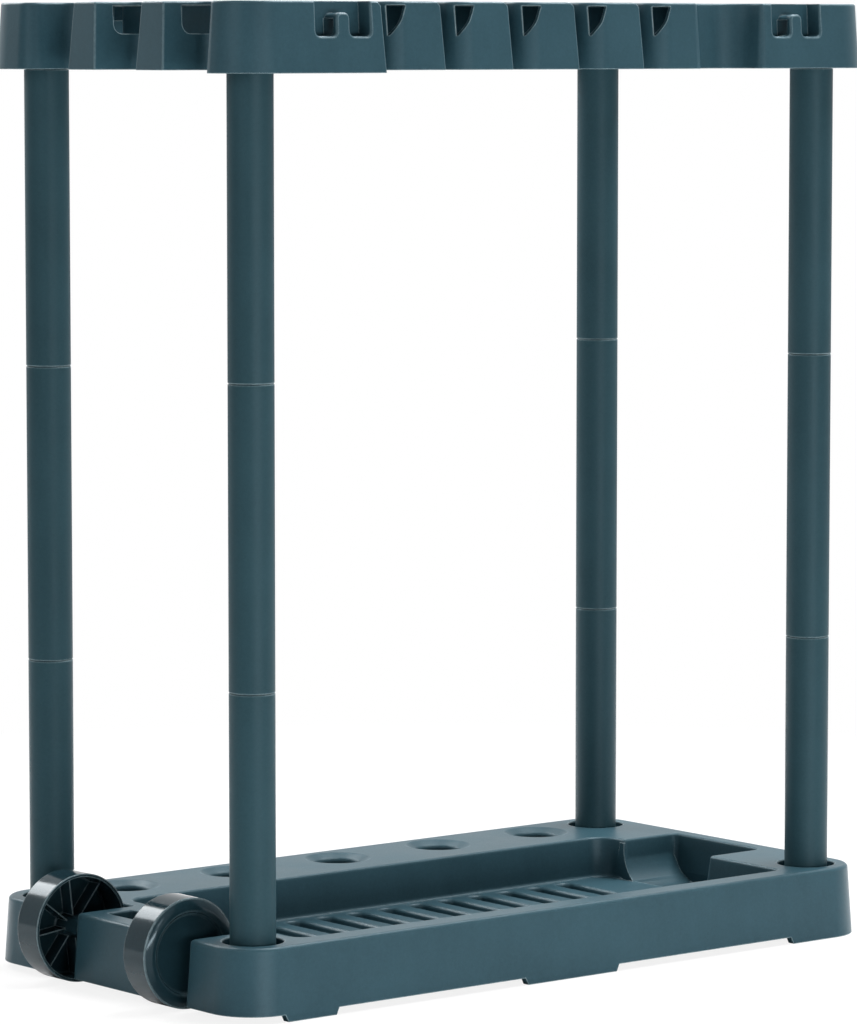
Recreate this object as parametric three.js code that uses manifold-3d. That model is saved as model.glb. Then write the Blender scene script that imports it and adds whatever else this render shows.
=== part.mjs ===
// Freestanding garden tool rack, in millimetres with +Z up. A moulded base tray rolls on two wheels at
// its left end, -X. Four posts of three tubes each carry a moulded top rack, whose notches, hooks and
// holes hold the handles of tools that stand in the tray or in the five cups of the back ledge.
// The front is -Y. The floor is z = 0.

import * as THREE from "three";
import { mergeVertices } from "three/addons/utils/BufferGeometryUtils.js";
import Module from "manifold-3d";

const wasm = await Module();
wasm.setup();

// Sizes shared by several pieces
const POST_SPACING_X = 614.4; // between the post axes along the rack
const POST_SPACING_Y = 284.8; // between the post axes from front to back
const POST_TO_EDGE = 37.2; // from a post axis to the outer edge of the mouldings
const FIT_GAP = 0.3; // clearance round a piece that plugs into another
const SEAM = 0.3; // gap between two faces that butt
const CUT = 6; // how far a cut runs past the surface it opens
const WELD = 1e-4; // corners this close are one corner
const END_ROUND_SHARE = 0.48; // rounding of a notch's end, of its width
const LEAST_ROUND_SHARE = 0.1; // what is left of a rounding that an inward offset eats

const HALF_X = POST_SPACING_X / 2 + POST_TO_EDGE;
const HALF_Y = POST_SPACING_Y / 2 + POST_TO_EDGE;

// Posts: three tubes each, every tube with a spigot on top
const TUBE_RADIUS = 18.9;
const TUBE_WALL = 2;
const TUBE_PITCH = 250; // from one joint to the next
const TUBE_SIDES = 20;
const TUBES_PER_POST = 3;
const SPIGOT_LENGTH = 24;
const SPIGOT_WALL = 2;
const TUBE_LENGTH = TUBE_PITCH - SEAM;
const SPIGOT_RADIUS = TUBE_RADIUS - TUBE_WALL - FIT_GAP;

// Base tray: outer shell
const BASE_HEIGHT = 61.3;
const BASE_WALL = 3;
const BASE_DRAFT = 4; // how much wider the skirt is at the floor than at the top
const BASE_EDGE = 3.5; // fillet round the top
const FOOT_HEIGHT = 6; // the skirt stands clear of the floor between the feet
const FOOT_SLOPE = 5; // run of a foot's slanted side
const FOOT_PAD = 10; // width of a foot inside the skirt
const FOOT_ROOF = 4; // thickness of a foot's pad above the raised skirt

// Base tray: feet along the long sides, and the feet that wrap the right corners
const LEFT_FOOT_INSET = 45.4; // from the left end
const LEFT_FOOT_LENGTH = 43;
const MIDDLE_FOOT_HALF = 46;
const RIGHT_FOOT_LENGTH = 86.4; // a corner foot's run along the long side
const RIGHT_FOOT_REACH = 80; // and along the right end
const LEFT_FOOT_FROM = -HALF_X + LEFT_FOOT_INSET;
const LEFT_FOOT_TO = LEFT_FOOT_FROM + LEFT_FOOT_LENGTH;
const RIGHT_FOOT_FROM = HALF_X - RIGHT_FOOT_LENGTH;

// Base tray: post sockets
const SOCKET_MOUTH_RADIUS = 25.2; // wide dark ring round the tube
const SOCKET_MOUTH_DEPTH = 20;
const TUBE_SEAT = 14.3; // height of the lowest tube's end

// Wheels and axle
const WHEEL_RADIUS = 45.9;
const WHEEL_LIFT = 0.5; // the wheels just clear the floor while the feet stand on it
const WHEEL_WIDTH = 31;
const WHEEL_WALL = 3;
const WHEEL_EDGE = 4; // rounding of the closed face
const WHEEL_DISH_RADIUS = 29.5; // shallow dish in the closed face
const WHEEL_DISH_DEPTH = 2.5;
const WHEEL_SIDES = 36;
const HUB_RADIUS = 9;
const HUB_RUNNING_GAP = 0.5; // between the hub and the block
const SPOKE_COUNT = 8;
const SPOKE_THICKNESS = 1.6;
const SPOKE_RECESS = 11; // spokes stop this far inside the open side
const SPOKE_TURN = THREE.MathUtils.degToRad(8);
const AXLE_RADIUS = 4;
const AXLE_INSET = 11.4; // from the left end to the axle
const AXLE_CAP = 4; // wheel material beyond the axle's end
const AXLE_X = -HALF_X + AXLE_INSET;
const AXLE_Z = WHEEL_RADIUS + WHEEL_LIFT;

// Base tray: wheel slots, and the block between them with its finger pocket
const BLOCK_HALF = 54; // half the width of the block
const WHEEL_INNER_GAP = 7.8; // between the block and a wheel's open side
const WHEEL_OUTER_GAP = 12.2; // between a wheel's closed face and the slot's far wall
const WHEEL_END_GAP = 2.3; // between a wheel and the slot's end
const WHEEL_OUTER_FACE = BLOCK_HALF + WHEEL_INNER_GAP + WHEEL_WIDTH;
const SLOT_OUTER = WHEEL_OUTER_FACE + WHEEL_OUTER_GAP;
const SLOT_END = AXLE_X + WHEEL_RADIUS + WHEEL_END_GAP;
const POCKET_GAP = 2; // between the axle and the pocket's wall
const POCKET_LENGTH = 25;
const POCKET_MARGIN = 16.5; // from the pocket to the block's sides
const POCKET_DEPTH = 34;
const POCKET_DRAFT = 2;
const POCKET_CORNER = 4;
const POCKET_LEFT = AXLE_X + AXLE_RADIUS + POCKET_GAP + BASE_WALL;
const POCKET_RIGHT = POCKET_LEFT + POCKET_LENGTH;
const POCKET_HALF = BLOCK_HALF - POCKET_MARGIN;
const AXLE_WEB_Y = 20; // webs that carry the axle inside the block
const AXLE_WEB_DROP = 30; // how far they hang below the top

// Base tray: five cups on the back ledge
const CUP_COUNT = 5;
const CUP_INSET = 75.2; // from the post axes to the first and last cup
const CUP_SETBACK = 2.4; // from the back posts' axes to the row of cups
const CUP_RIM_RADIUS = 28;
const CUP_BORE_RADIUS = 15.5;
const CUP_FUNNEL = 12.5;
const CUP_DEPTH = 46;
const CUP_SIDES = 18;
const CUP_PITCH = (POST_SPACING_X - 2 * CUP_INSET) / (CUP_COUNT - 1);
const CUP_Y = POST_SPACING_Y / 2 - CUP_SETBACK;

// Base tray: bowl and its ribbed floor
const TRAY_LEFT_WALL = 12.8; // from the wheel slots to the tray
const TRAY_RIGHT_RIM = 16.4;
const TRAY_FRONT_RIM = 24.1;
const TRAY_BACK_LEDGE = 29; // from the cups' rims to the tray
const TRAY_DEPTH = 36;
const TRAY_DRAFT = 4;
const TRAY_CORNER = 16;
const TRAY_LEFT = SLOT_END + TRAY_LEFT_WALL;
const TRAY_RIGHT = HALF_X - TRAY_RIGHT_RIM;
const TRAY_FRONT = -HALF_Y + TRAY_FRONT_RIM;
const TRAY_BACK = CUP_Y - CUP_RIM_RADIUS - TRAY_BACK_LEDGE;
const PLATFORM_CORNER = 5;
const FRONT_PLATFORM_REACH_X = 43.2; // from the front right post's axis to the step round it
const FRONT_PLATFORM_REACH_Y = 81.4;
const BACK_PLATFORM_REACH_X = 41.2; // from the back right post's axis to the step round it
const BACK_PLATFORM_REACH_Y = 87.9;
const FRONT_PLATFORM_LEFT = POST_SPACING_X / 2 - FRONT_PLATFORM_REACH_X;
const FRONT_PLATFORM_BACK = -POST_SPACING_Y / 2 + FRONT_PLATFORM_REACH_Y;
const BACK_PLATFORM_LEFT = POST_SPACING_X / 2 - BACK_PLATFORM_REACH_X;
const BACK_PLATFORM_FRONT = POST_SPACING_Y / 2 - BACK_PLATFORM_REACH_Y;
const DEEP_END_DROP = 7.3; // the right end is as much lower as the grooves are deep
const RAMP_RADIUS = 25; // hollow curve below the back platform
const GROOVE_COUNT = 14;
const GROOVE_WIDTH = 17;
const GROOVE_FIRST_INSET = 29.2; // from the tray's left side to the first groove's middle
const GROOVE_LAST_INSET = 60.9; // from the last groove's middle to the deep end
const GROOVE_FRONT_GAP = 9.5;
const GROOVE_BACK_GAP = 12;
const GROOVE_FIRST = TRAY_LEFT + GROOVE_FIRST_INSET;
const GROOVE_LAST = FRONT_PLATFORM_LEFT - GROOVE_LAST_INSET;
const GROOVE_PITCH = (GROOVE_LAST - GROOVE_FIRST) / (GROOVE_COUNT - 1);
const GROOVE_FRONT = TRAY_FRONT + GROOVE_FRONT_GAP;
const GROOVE_BACK = TRAY_BACK - GROOVE_BACK_GAP;
const GROOVE_ROUND_SHARE = 0.9; // rounding of a groove's ends, of its half width

// Top rack: outer shell
const RACK_HEIGHT = 55.4;
const RACK_WALL = 3;
const RACK_DRAFT = 3.5;
const RACK_EDGE = 2.5;
const RACK_CORNER = 36;
const RACK_BOTTOM = TUBE_SEAT + TUBES_PER_POST * TUBE_PITCH;
const RACK_TOP = RACK_BOTTOM + RACK_HEIGHT;
const RACK_LIP = 2.2; // the front left block hangs this much lower
const RACK_LIP_REACH = 4; // how far up the lip's own band starts
const BOSS_RADIUS = 22; // sockets for the top spigots
const SHARP = 2; // radius of the crisp corners

// Top rack: shallow panel right of the last notch
const PANEL_INSET = 93.2; // from the right posts' axes
const PANEL_LENGTH = 73;
const PANEL_DEPTH = 14;
const PANEL_LEFT_RUN = 8;
const PANEL_RIGHT_RUN = 18;
const PANEL_CORNER = 6;
const PANEL_RIGHT = POST_SPACING_X / 2 - PANEL_INSET;
const PANEL_LEFT = PANEL_RIGHT - PANEL_LENGTH;

// Top rack: five notches in the front, each with a flared right side
const FRONT_NOTCH_COUNT = 5;
const FRONT_INSET = 94; // from the left posts' axes to where a full first notch would start
const FRONT_BLOCK_GAIN = 10.2; // the front left block narrows the first notch by this
const FRONT_LAST_TOOTH = 48.9; // from the last notch to the panel
const FRONT_NOTCH_WIDTH = 18.5;
const FRONT_NOTCH_DEPTH = 34;
const FRONT_FLARE = 18; // radius of the flared side
const FRONT_FIRST = -POST_SPACING_X / 2 + FRONT_INSET;
const FRONT_BLOCK_RIGHT = FRONT_FIRST + FRONT_BLOCK_GAIN;
const FRONT_LAST = PANEL_LEFT - FRONT_LAST_TOOTH - FRONT_NOTCH_WIDTH;
const FRONT_PITCH = (FRONT_LAST - FRONT_FIRST) / (FRONT_NOTCH_COUNT - 1);
const FRONT_WINDOW_GAP = 3; // from the notch to the window below the top
const FRONT_WINDOW_WIDTH = 14;
const FRONT_WINDOW_DROP = 26;
const FRONT_WINDOW_BOW_SHARE = 0.17; // bulge of the slanted side, of the window's width

// Top rack: three notches in the left end, from the back forwards
const SIDE_NOTCH_COUNT = 3;
const SIDE_INSET = 28.8; // from the back left post's axis to the first notch
const SIDE_TOOTH = 30.6; // left standing between two notches
const SIDE_LAST_WIDTH = 63.1;
const SIDE_NOTCH_DEPTH = 44;
const SIDE_NOTCH_CORNER = 12;
const BACK_BLOCK_ROUND = 14; // the back left block is round where the first notch begins
const FRONT_BLOCK_LAND = 4.1; // flat left between the front left corner and the last notch
const FRONT_BLOCK_SLANT = 31; // the last notch's near side slants clear of the post's socket
const SIDE_FIRST = POST_SPACING_Y / 2 - SIDE_INSET;
const FRONT_BLOCK_BACK = -HALF_Y + RACK_CORNER + FRONT_BLOCK_LAND;
const SIDE_PITCH = (SIDE_FIRST - FRONT_BLOCK_BACK - SIDE_LAST_WIDTH) / (SIDE_NOTCH_COUNT - 1);
const SIDE_WINDOW_FROM = 18; // window's start, from the left end
const SIDE_WINDOW_DROP = 26;
const SIDE_WINDOW_REACH = 34; // along the notch's inner wall
const SIDE_WINDOW_ROUND = 8; // rounding of its lower corner

// Top rack: inner ring, grip slot, tool openings and handle holes
const HANDLE_HOLE_RADIUS = 24;
const HANDLE_COLLAR = 12;
const HANDLE_COLLAR_WALL = 2.5;
const RING_SETBACK = 28.4; // from the left notches' ends to the ring
const RING_FRONT_GAP = 5.6; // from the front notches' ends to the ring
const RING_BACK_GAP = 24; // from the handle holes to the ring
const RING_DEPTH = 32;
const RING_HALF_X = HALF_X - SIDE_NOTCH_DEPTH - RING_SETBACK;
const RING_FRONT = -HALF_Y + FRONT_NOTCH_DEPTH + RING_FRONT_GAP;
const RING_BACK = CUP_Y - HANDLE_HOLE_RADIUS - RING_BACK_GAP;
const GRIP_WALL = 6.4; // from the left notches' ends to the grip slot
const GRIP_RING_GAP = 4; // from the grip slot to the ring
const GRIP_END_GAP = 40; // from the ring's front to the grip slot's
const GRIP_CORNER = 8;
const GRIP_LEFT = -HALF_X + SIDE_NOTCH_DEPTH + GRIP_WALL;
const GRIP_RIGHT = -RING_HALF_X - GRIP_RING_GAP;
const GRIP_FRONT = RING_FRONT + GRIP_END_GAP;
const GRIP_BACK = RING_BACK;
const OPENING_COUNT = 3;
const OPENING_GAP = 18; // bar between two openings
const OPENING_CORNER = 16;
const OPENING_MARGIN = 10; // from the ring to the openings

// Top rack: hook pockets in the front corner blocks, two slots either side of a tongue
const HOOK_LEFT_POST_GAP = 37.2; // from the front left post's axis to its pocket
const HOOK_RIGHT_POST_GAP = 26.1; // from the front right post's axis to its pocket
const HOOK_NOTCH_GAP = 11.4; // from the left pocket to the first notch
const HOOK_PANEL_GAP = 11.5; // from the panel to the right pocket
const HOOK_DEPTH = 16;
const HOOK_DROP = 28;
const TONGUE_WIDTH = 13.8;
const TONGUE_DROP = 9;
const HOOK_ROUND = 4; // corners of the tongue's head
const HOOKS = [
  [-POST_SPACING_X / 2 + HOOK_LEFT_POST_GAP, FRONT_BLOCK_RIGHT - HOOK_NOTCH_GAP],
  [PANEL_RIGHT + HOOK_PANEL_GAP, POST_SPACING_X / 2 - HOOK_RIGHT_POST_GAP],
];

const plastic = (hex) => new THREE.MeshStandardMaterial({ color: hex, roughness: 0.55, metalness: 0 });
const MOULDED = 0x2f4852;
const TUBE = 0x2b434c;
const WHEEL = 0x1d2a30;
const STEEL = 0x9aa0a4;

// Turns a closed geometry into a solid whose shared corners are merged.
function solidOf(geometry) {
  const bare = new THREE.BufferGeometry();
  bare.setAttribute("position", geometry.getAttribute("position"));
  if (geometry.index) bare.setIndex(geometry.index);
  const merged = mergeVertices(bare, WELD);
  const mesh = new wasm.Mesh({
    numProp: 3,
    vertProperties: merged.attributes.position.array,
    triVerts: new Uint32Array(merged.index.array),
  });
  return new wasm.Manifold(mesh);
}

function meshOf(name, solid, material) {
  const { numProp, numVert, vertProperties, triVerts } = solid.getMesh();
  const corners = new Float32Array(numVert * 3);
  for (let i = 0; i < numVert; i += 1) {
    corners.set(vertProperties.subarray(i * numProp, i * numProp + 3), i * 3);
  }
  const geometry = new THREE.BufferGeometry();
  geometry.setAttribute("position", new THREE.BufferAttribute(corners, 3));
  geometry.setIndex(new THREE.BufferAttribute(triVerts, 1));
  geometry.computeVertexNormals();
  const mesh = new THREE.Mesh(geometry, material);
  mesh.name = name;
  return mesh;
}

const union = (solids) => solids.reduce((whole, piece) => whole.add(piece));

// A polygon with rounded corners, grown outwards by `grow`. Corners are [x, y, radius, steps] in
// anticlockwise order. A corner that sticks out gains the growth in its radius and one that goes in
// loses it, but a crisp corner stays crisp. Every growth gives the same number of points.
function rounded(corners, grow = 0) {
  const count = corners.length;
  const at = (i) => corners[(i + count) % count];
  const edges = corners.map(([x, y], i) => {
    const [nextX, nextY] = at(i + 1);
    const along = new THREE.Vector2(nextX - x, nextY - y).normalize();
    const out = new THREE.Vector2(along.y, -along.x);
    return { along, out };
  });
  const points = [];
  corners.forEach(([x, y, radius, steps], i) => {
    const before = edges[(i - 1 + count) % count];
    const after = edges[i];
    const turn = before.along.cross(after.along);
    const mitre = before.out.clone().add(after.out);
    mitre.multiplyScalar((2 * grow) / mitre.lengthSq());
    const corner = new THREE.Vector2(x, y).add(mitre);
    const least = radius * LEAST_ROUND_SHARE;
    const gain = radius > SHARP ? Math.sign(turn) * grow : 0;
    const size = Math.max(least, radius + gain);
    const angle = Math.atan2(Math.abs(turn), before.along.dot(after.along));
    const reach = size * Math.tan(angle / 2);
    const start = corner.clone().addScaledVector(before.along, -reach);
    const side = Math.sign(turn);
    const centre = start.clone().addScaledVector(before.out, -side * size);
    const first = Math.atan2(before.out.y * side, before.out.x * side);
    for (let k = 0; k <= steps; k += 1) {
      const a = first + (side * angle * k) / steps;
      points.push([centre.x + size * Math.cos(a), centre.y + size * Math.sin(a)]);
    }
  });
  return points;
}

// A closed solid through outlines of equal point counts, each [z, points], from the lowest up.
function loft(sections) {
  const count = sections[0][1].length;
  const positions = [];
  sections.forEach(([z, points]) => points.forEach(([x, y]) => positions.push(x, y, z)));
  const index = [];
  for (let s = 0; s + 1 < sections.length; s += 1) {
    for (let i = 0; i < count; i += 1) {
      const j = (i + 1) % count;
      const a = s * count + i;
      const b = s * count + j;
      index.push(a, b, b + count, a, b + count, a + count);
    }
  }
  const cap = (points) =>
    THREE.ShapeUtils.triangulateShape(
      points.map(([x, y]) => new THREE.Vector2(x, y)),
      [],
    );
  cap(sections[0][1]).forEach(([a, b, c]) => index.push(a, c, b));
  const top = (sections.length - 1) * count;
  cap(sections[sections.length - 1][1]).forEach(([a, b, c]) => index.push(top + a, top + b, top + c));
  const geometry = new THREE.BufferGeometry();
  geometry.setAttribute("position", new THREE.Float32BufferAttribute(positions, 3));
  geometry.setIndex(index);
  return solidOf(geometry);
}

// A straight prism over a rounded polygon, `grow` wider all round.
const prism = (corners, low, high, grow = 0) =>
  loft([
    [low, rounded(corners, grow)],
    [high, rounded(corners, grow)],
  ]);

// A moulding's outer form: wider at the foot by `draft`, with a filleted top edge.
function moulding(corners, low, high, draft, fillet) {
  const rings = [0, 1, 2].map((step) => {
    const a = (step * Math.PI) / 4;
    const out = -fillet * (1 - Math.cos(a));
    return [high - fillet + fillet * Math.sin(a), rounded(corners, out)];
  });
  return loft([[low, rounded(corners, draft)], ...rings]);
}

function box(x0, x1, y0, y1, z0, z1) {
  const geometry = new THREE.BoxGeometry(x1 - x0, y1 - y0, z1 - z0);
  geometry.translate((x0 + x1) / 2, (y0 + y1) / 2, (z0 + z1) / 2);
  return solidOf(geometry);
}

const rectangle = (x0, x1, y0, y1, radius, steps = 4) => [
  [x0, y0, radius, steps],
  [x1, y0, radius, steps],
  [x1, y1, radius, steps],
  [x0, y1, radius, steps],
];

// A turned solid about a vertical axis from a profile of [radius, z], lowest end first.
function turned(profile, x, y, sides) {
  const points = profile.map(([r, z]) => new THREE.Vector2(r, z));
  const geometry = new THREE.LatheGeometry(points, sides);
  geometry.rotateX(Math.PI / 2);
  geometry.translate(x, y, 0);
  return solidOf(geometry);
}

const rod = (radius, low, high, x, y, sides) =>
  turned(
    [
      [0, low],
      [radius, low],
      [radius, high],
      [0, high],
    ],
    x,
    y,
    sides,
  );

// A prism along Y from a profile of [x, z], or along X from a profile of [y, z].
function prismAlong(axis, profile, from, to) {
  const shape = new THREE.Shape(profile.map(([u, v]) => new THREE.Vector2(u, v)));
  const geometry = new THREE.ExtrudeGeometry(shape, { depth: to - from, bevelEnabled: false });
  if (axis === "y") {
    geometry.rotateX(Math.PI / 2);
    geometry.translate(0, to, 0);
  } else {
    geometry.rotateX(Math.PI / 2);
    geometry.rotateZ(Math.PI / 2);
    geometry.translate(from, 0, 0);
  }
  return solidOf(geometry);
}

const POSTS = [
  ["front_left", -1, -1],
  ["back_left", -1, 1],
  ["back_right", 1, 1],
  ["front_right", 1, -1],
].map(([name, sx, sy]) => ({ name, x: (sx * POST_SPACING_X) / 2, y: (sy * POST_SPACING_Y) / 2 }));

const cupXs = Array.from({ length: CUP_COUNT }, (_, i) => (i - (CUP_COUNT - 1) / 2) * CUP_PITCH);

// Outline of the tray's bowl: it narrows at the right end, between the two platforms.
const trayOutline = () => [
  [TRAY_LEFT, TRAY_FRONT, TRAY_CORNER, 5],
  [FRONT_PLATFORM_LEFT, TRAY_FRONT, TRAY_CORNER / 2, 4],
  [FRONT_PLATFORM_LEFT, FRONT_PLATFORM_BACK, PLATFORM_CORNER, 3],
  [TRAY_RIGHT, FRONT_PLATFORM_BACK, PLATFORM_CORNER + TRAY_DRAFT, 3],
  [TRAY_RIGHT, BACK_PLATFORM_FRONT, PLATFORM_CORNER + TRAY_DRAFT, 3],
  [BACK_PLATFORM_LEFT, BACK_PLATFORM_FRONT, PLATFORM_CORNER, 3],
  [BACK_PLATFORM_LEFT, TRAY_BACK, TRAY_CORNER, 4],
  [TRAY_LEFT, TRAY_BACK, TRAY_CORNER, 5],
];

const grooveOutline = (k, steps) => {
  const middle = GROOVE_FIRST + k * GROOVE_PITCH;
  const half = GROOVE_WIDTH / 2;
  const round = half * GROOVE_ROUND_SHARE;
  return rectangle(middle - half, middle + half, GROOVE_FRONT, GROOVE_BACK, round, steps);
};

function makeBase() {
  const floor = BASE_HEIGHT - TRAY_DEPTH;
  const deepFloor = floor - DEEP_END_DROP;
  const outline = rectangle(-HALF_X, HALF_X, -HALF_Y, HALF_Y, POST_TO_EDGE, 8);
  const above = BASE_HEIGHT + CUT;
  const slot = (side, grow) => {
    const low = side < 0 ? -SLOT_OUTER : BLOCK_HALF;
    const high = side < 0 ? -BLOCK_HALF : SLOT_OUTER;
    const left = -HALF_X - BASE_DRAFT - CUT;
    return box(left, SLOT_END + grow, low - grow, high + grow, -CUT, above);
  };

  // The bowl tapers down to its floor. `grow` gives the moulded wall round it.
  const bowl = (grow, bottom, height) =>
    loft([
      [bottom, rounded(trayOutline(), grow - TRAY_DRAFT)],
      [height, rounded(trayOutline(), grow)],
    ]);
  const deepEnd = (grow, bottom, height) => {
    const area = rectangle(
      FRONT_PLATFORM_LEFT,
      TRAY_RIGHT - TRAY_DRAFT,
      FRONT_PLATFORM_BACK + TRAY_DRAFT,
      BACK_PLATFORM_FRONT - TRAY_DRAFT,
      PLATFORM_CORNER,
      3,
    );
    return prism(area, bottom, height, grow);
  };
  const grooves = (grow, bottom, height, steps) =>
    union(
      Array.from({ length: GROOVE_COUNT }, (_, k) =>
        prism(grooveOutline(k, steps), bottom, height, grow),
      ),
    );

  // Hollow curve that runs from the back platform down to the deep floor
  const rampTop = deepFloor + RAMP_RADIUS;
  const rampBack = BACK_PLATFORM_FRONT - TRAY_DRAFT / 4;
  const arc = Array.from({ length: 7 }, (_, i) => {
    const a = (i / 6) * (Math.PI / 2);
    return [rampBack - RAMP_RADIUS * (1 - Math.cos(a)), rampTop - RAMP_RADIUS * Math.sin(a)];
  });
  const rampProfile = [
    [rampBack + CUT, rampTop],
    ...arc,
    [rampBack - RAMP_RADIUS, deepFloor - BASE_WALL],
    [rampBack + CUT, deepFloor - BASE_WALL],
  ];
  const ramp = prismAlong("x", rampProfile, BACK_PLATFORM_LEFT, TRAY_RIGHT + BASE_WALL);

  const cup = (x, grow) => {
    const bottom = BASE_HEIGHT - CUP_DEPTH - grow;
    const neck = BASE_HEIGHT - CUP_FUNNEL;
    const rim = CUP_RIM_RADIUS + grow;
    return turned(
      [
        [0, bottom],
        [CUP_BORE_RADIUS + grow, bottom],
        [CUP_BORE_RADIUS + grow, neck - grow / 2],
        [rim, BASE_HEIGHT - grow / 2],
        [rim, above],
        [0, above],
      ],
      x,
      CUP_Y,
      CUP_SIDES,
    );
  };
  const socket = ({ x, y }, grow) => {
    const bottom = TUBE_SEAT - SEAM - grow;
    const step = BASE_HEIGHT - SOCKET_MOUTH_DEPTH - grow;
    const bore = TUBE_RADIUS + FIT_GAP + grow;
    return union([
      rod(bore, bottom, above, x, y, TUBE_SIDES + 4),
      rod(SOCKET_MOUTH_RADIUS + grow, step, above, x, y, TUBE_SIDES + 4),
    ]);
  };
  const pocketArea = rectangle(POCKET_LEFT, POCKET_RIGHT, -POCKET_HALF, POCKET_HALF, POCKET_CORNER, 3);
  const pocket = (grow) =>
    loft([
      [BASE_HEIGHT - POCKET_DEPTH - grow, rounded(pocketArea, grow - POCKET_DRAFT)],
      [above, rounded(pocketArea, grow)],
    ]);
  const axleWeb = (y) =>
    box(
      -HALF_X,
      POCKET_LEFT,
      y - BASE_WALL / 2,
      y + BASE_WALL / 2,
      BASE_HEIGHT - AXLE_WEB_DROP,
      BASE_HEIGHT,
    );

  // Feet: each is a stretch of skirt that reaches the floor, with slanted sides
  const foot = (from, to, side) => {
    const outer = side * (HALF_Y + BASE_DRAFT + CUT);
    const inner = side * (HALF_Y - FOOT_PAD);
    const profile = [
      [from, -CUT],
      [to, -CUT],
      [to + FOOT_SLOPE, FOOT_HEIGHT + FOOT_ROOF],
      [from - FOOT_SLOPE, FOOT_HEIGHT + FOOT_ROOF],
    ];
    return prismAlong("y", profile, Math.min(outer, inner), Math.max(outer, inner));
  };
  const cornerFoot = (side) => {
    const outer = side * (HALF_Y + BASE_DRAFT + CUT);
    const inner = side * (HALF_Y - RIGHT_FOOT_REACH);
    const right = HALF_X + BASE_DRAFT + CUT;
    const low = Math.min(outer, inner);
    const high = Math.max(outer, inner);
    const whole = box(RIGHT_FOOT_FROM, right, low, high, -CUT, FOOT_HEIGHT + FOOT_ROOF);
    const core = [
      [RIGHT_FOOT_FROM - CUT, Math.min(side * (HALF_Y - FOOT_PAD), inner - side * CUT)],
      [HALF_X - FOOT_PAD, Math.max(side * (HALF_Y - FOOT_PAD), inner - side * CUT)],
    ];
    const hollow = box(core[0][0], core[1][0], core[0][1], core[1][1], -2 * CUT, BASE_HEIGHT);
    return whole.subtract(hollow);
  };
  const feet = union(
    [-1, 1].flatMap((side) => [
      foot(LEFT_FOOT_FROM, LEFT_FOOT_TO, side),
      foot(-MIDDLE_FOOT_HALF, MIDDLE_FOOT_HALF, side),
      foot(RIGHT_FOOT_FROM, RIGHT_FOOT_FROM + FOOT_PAD, side),
      cornerFoot(side),
    ]),
  );

  const islands = [
    slot(-1, BASE_WALL),
    slot(1, BASE_WALL),
    bowl(BASE_WALL, floor - BASE_WALL, above),
    deepEnd(BASE_WALL, deepFloor - BASE_WALL, above),
    grooves(BASE_WALL, deepFloor - BASE_WALL, floor, 1),
    pocket(BASE_WALL),
    axleWeb(-AXLE_WEB_Y),
    axleWeb(AXLE_WEB_Y),
    ...cupXs.map((x) => cup(x, BASE_WALL)),
    ...POSTS.map((post) => socket(post, BASE_WALL)),
    feet,
  ];
  const cavity = loft([
    [-CUT, rounded(outline, BASE_DRAFT - BASE_WALL)],
    [BASE_HEIGHT - BASE_WALL, rounded(outline, -BASE_WALL)],
  ]).subtract(union(islands));

  const bowls = union([
    bowl(0, floor, BASE_HEIGHT).subtract(ramp),
    prism(trayOutline(), BASE_HEIGHT, above),
    deepEnd(0, deepFloor, floor + TRAY_DRAFT).subtract(ramp),
    grooves(0, deepFloor, floor + TRAY_DRAFT, 3),
  ]);
  const raised = box(-HALF_X * 2, HALF_X * 2, -HALF_Y * 2, HALF_Y * 2, -CUT, FOOT_HEIGHT).subtract(feet);
  const axleBore = solidOf(
    new THREE.CylinderGeometry(
      AXLE_RADIUS + FIT_GAP,
      AXLE_RADIUS + FIT_GAP,
      2 * (BLOCK_HALF + CUT),
      24,
    ).translate(AXLE_X, 0, AXLE_Z),
  );
  // Cylinders stand along Y, so the bore already runs across the block.
  const cuts = [
    cavity,
    slot(-1, 0),
    slot(1, 0),
    bowls,
    pocket(0),
    raised,
    axleBore,
    ...cupXs.map((x) => cup(x, 0)),
    ...POSTS.map((post) => socket(post, 0)),
  ];
  return moulding(outline, 0, BASE_HEIGHT, BASE_DRAFT, BASE_EDGE).subtract(union(cuts));
}

function makeTube() {
  const bore = TUBE_RADIUS - TUBE_WALL;
  const neck = SPIGOT_RADIUS - SPIGOT_WALL;
  const top = TUBE_LENGTH + SPIGOT_LENGTH;
  const profile = [
    [bore, 0],
    [TUBE_RADIUS, 0],
    [TUBE_RADIUS, TUBE_LENGTH],
    [SPIGOT_RADIUS, TUBE_LENGTH],
    [SPIGOT_RADIUS, top],
    [neck, top],
    [neck, TUBE_LENGTH - TUBE_WALL],
    [bore, TUBE_LENGTH - 2 * TUBE_WALL],
    [bore, 0],
  ];
  return turned(profile, 0, 0, TUBE_SIDES);
}

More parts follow.
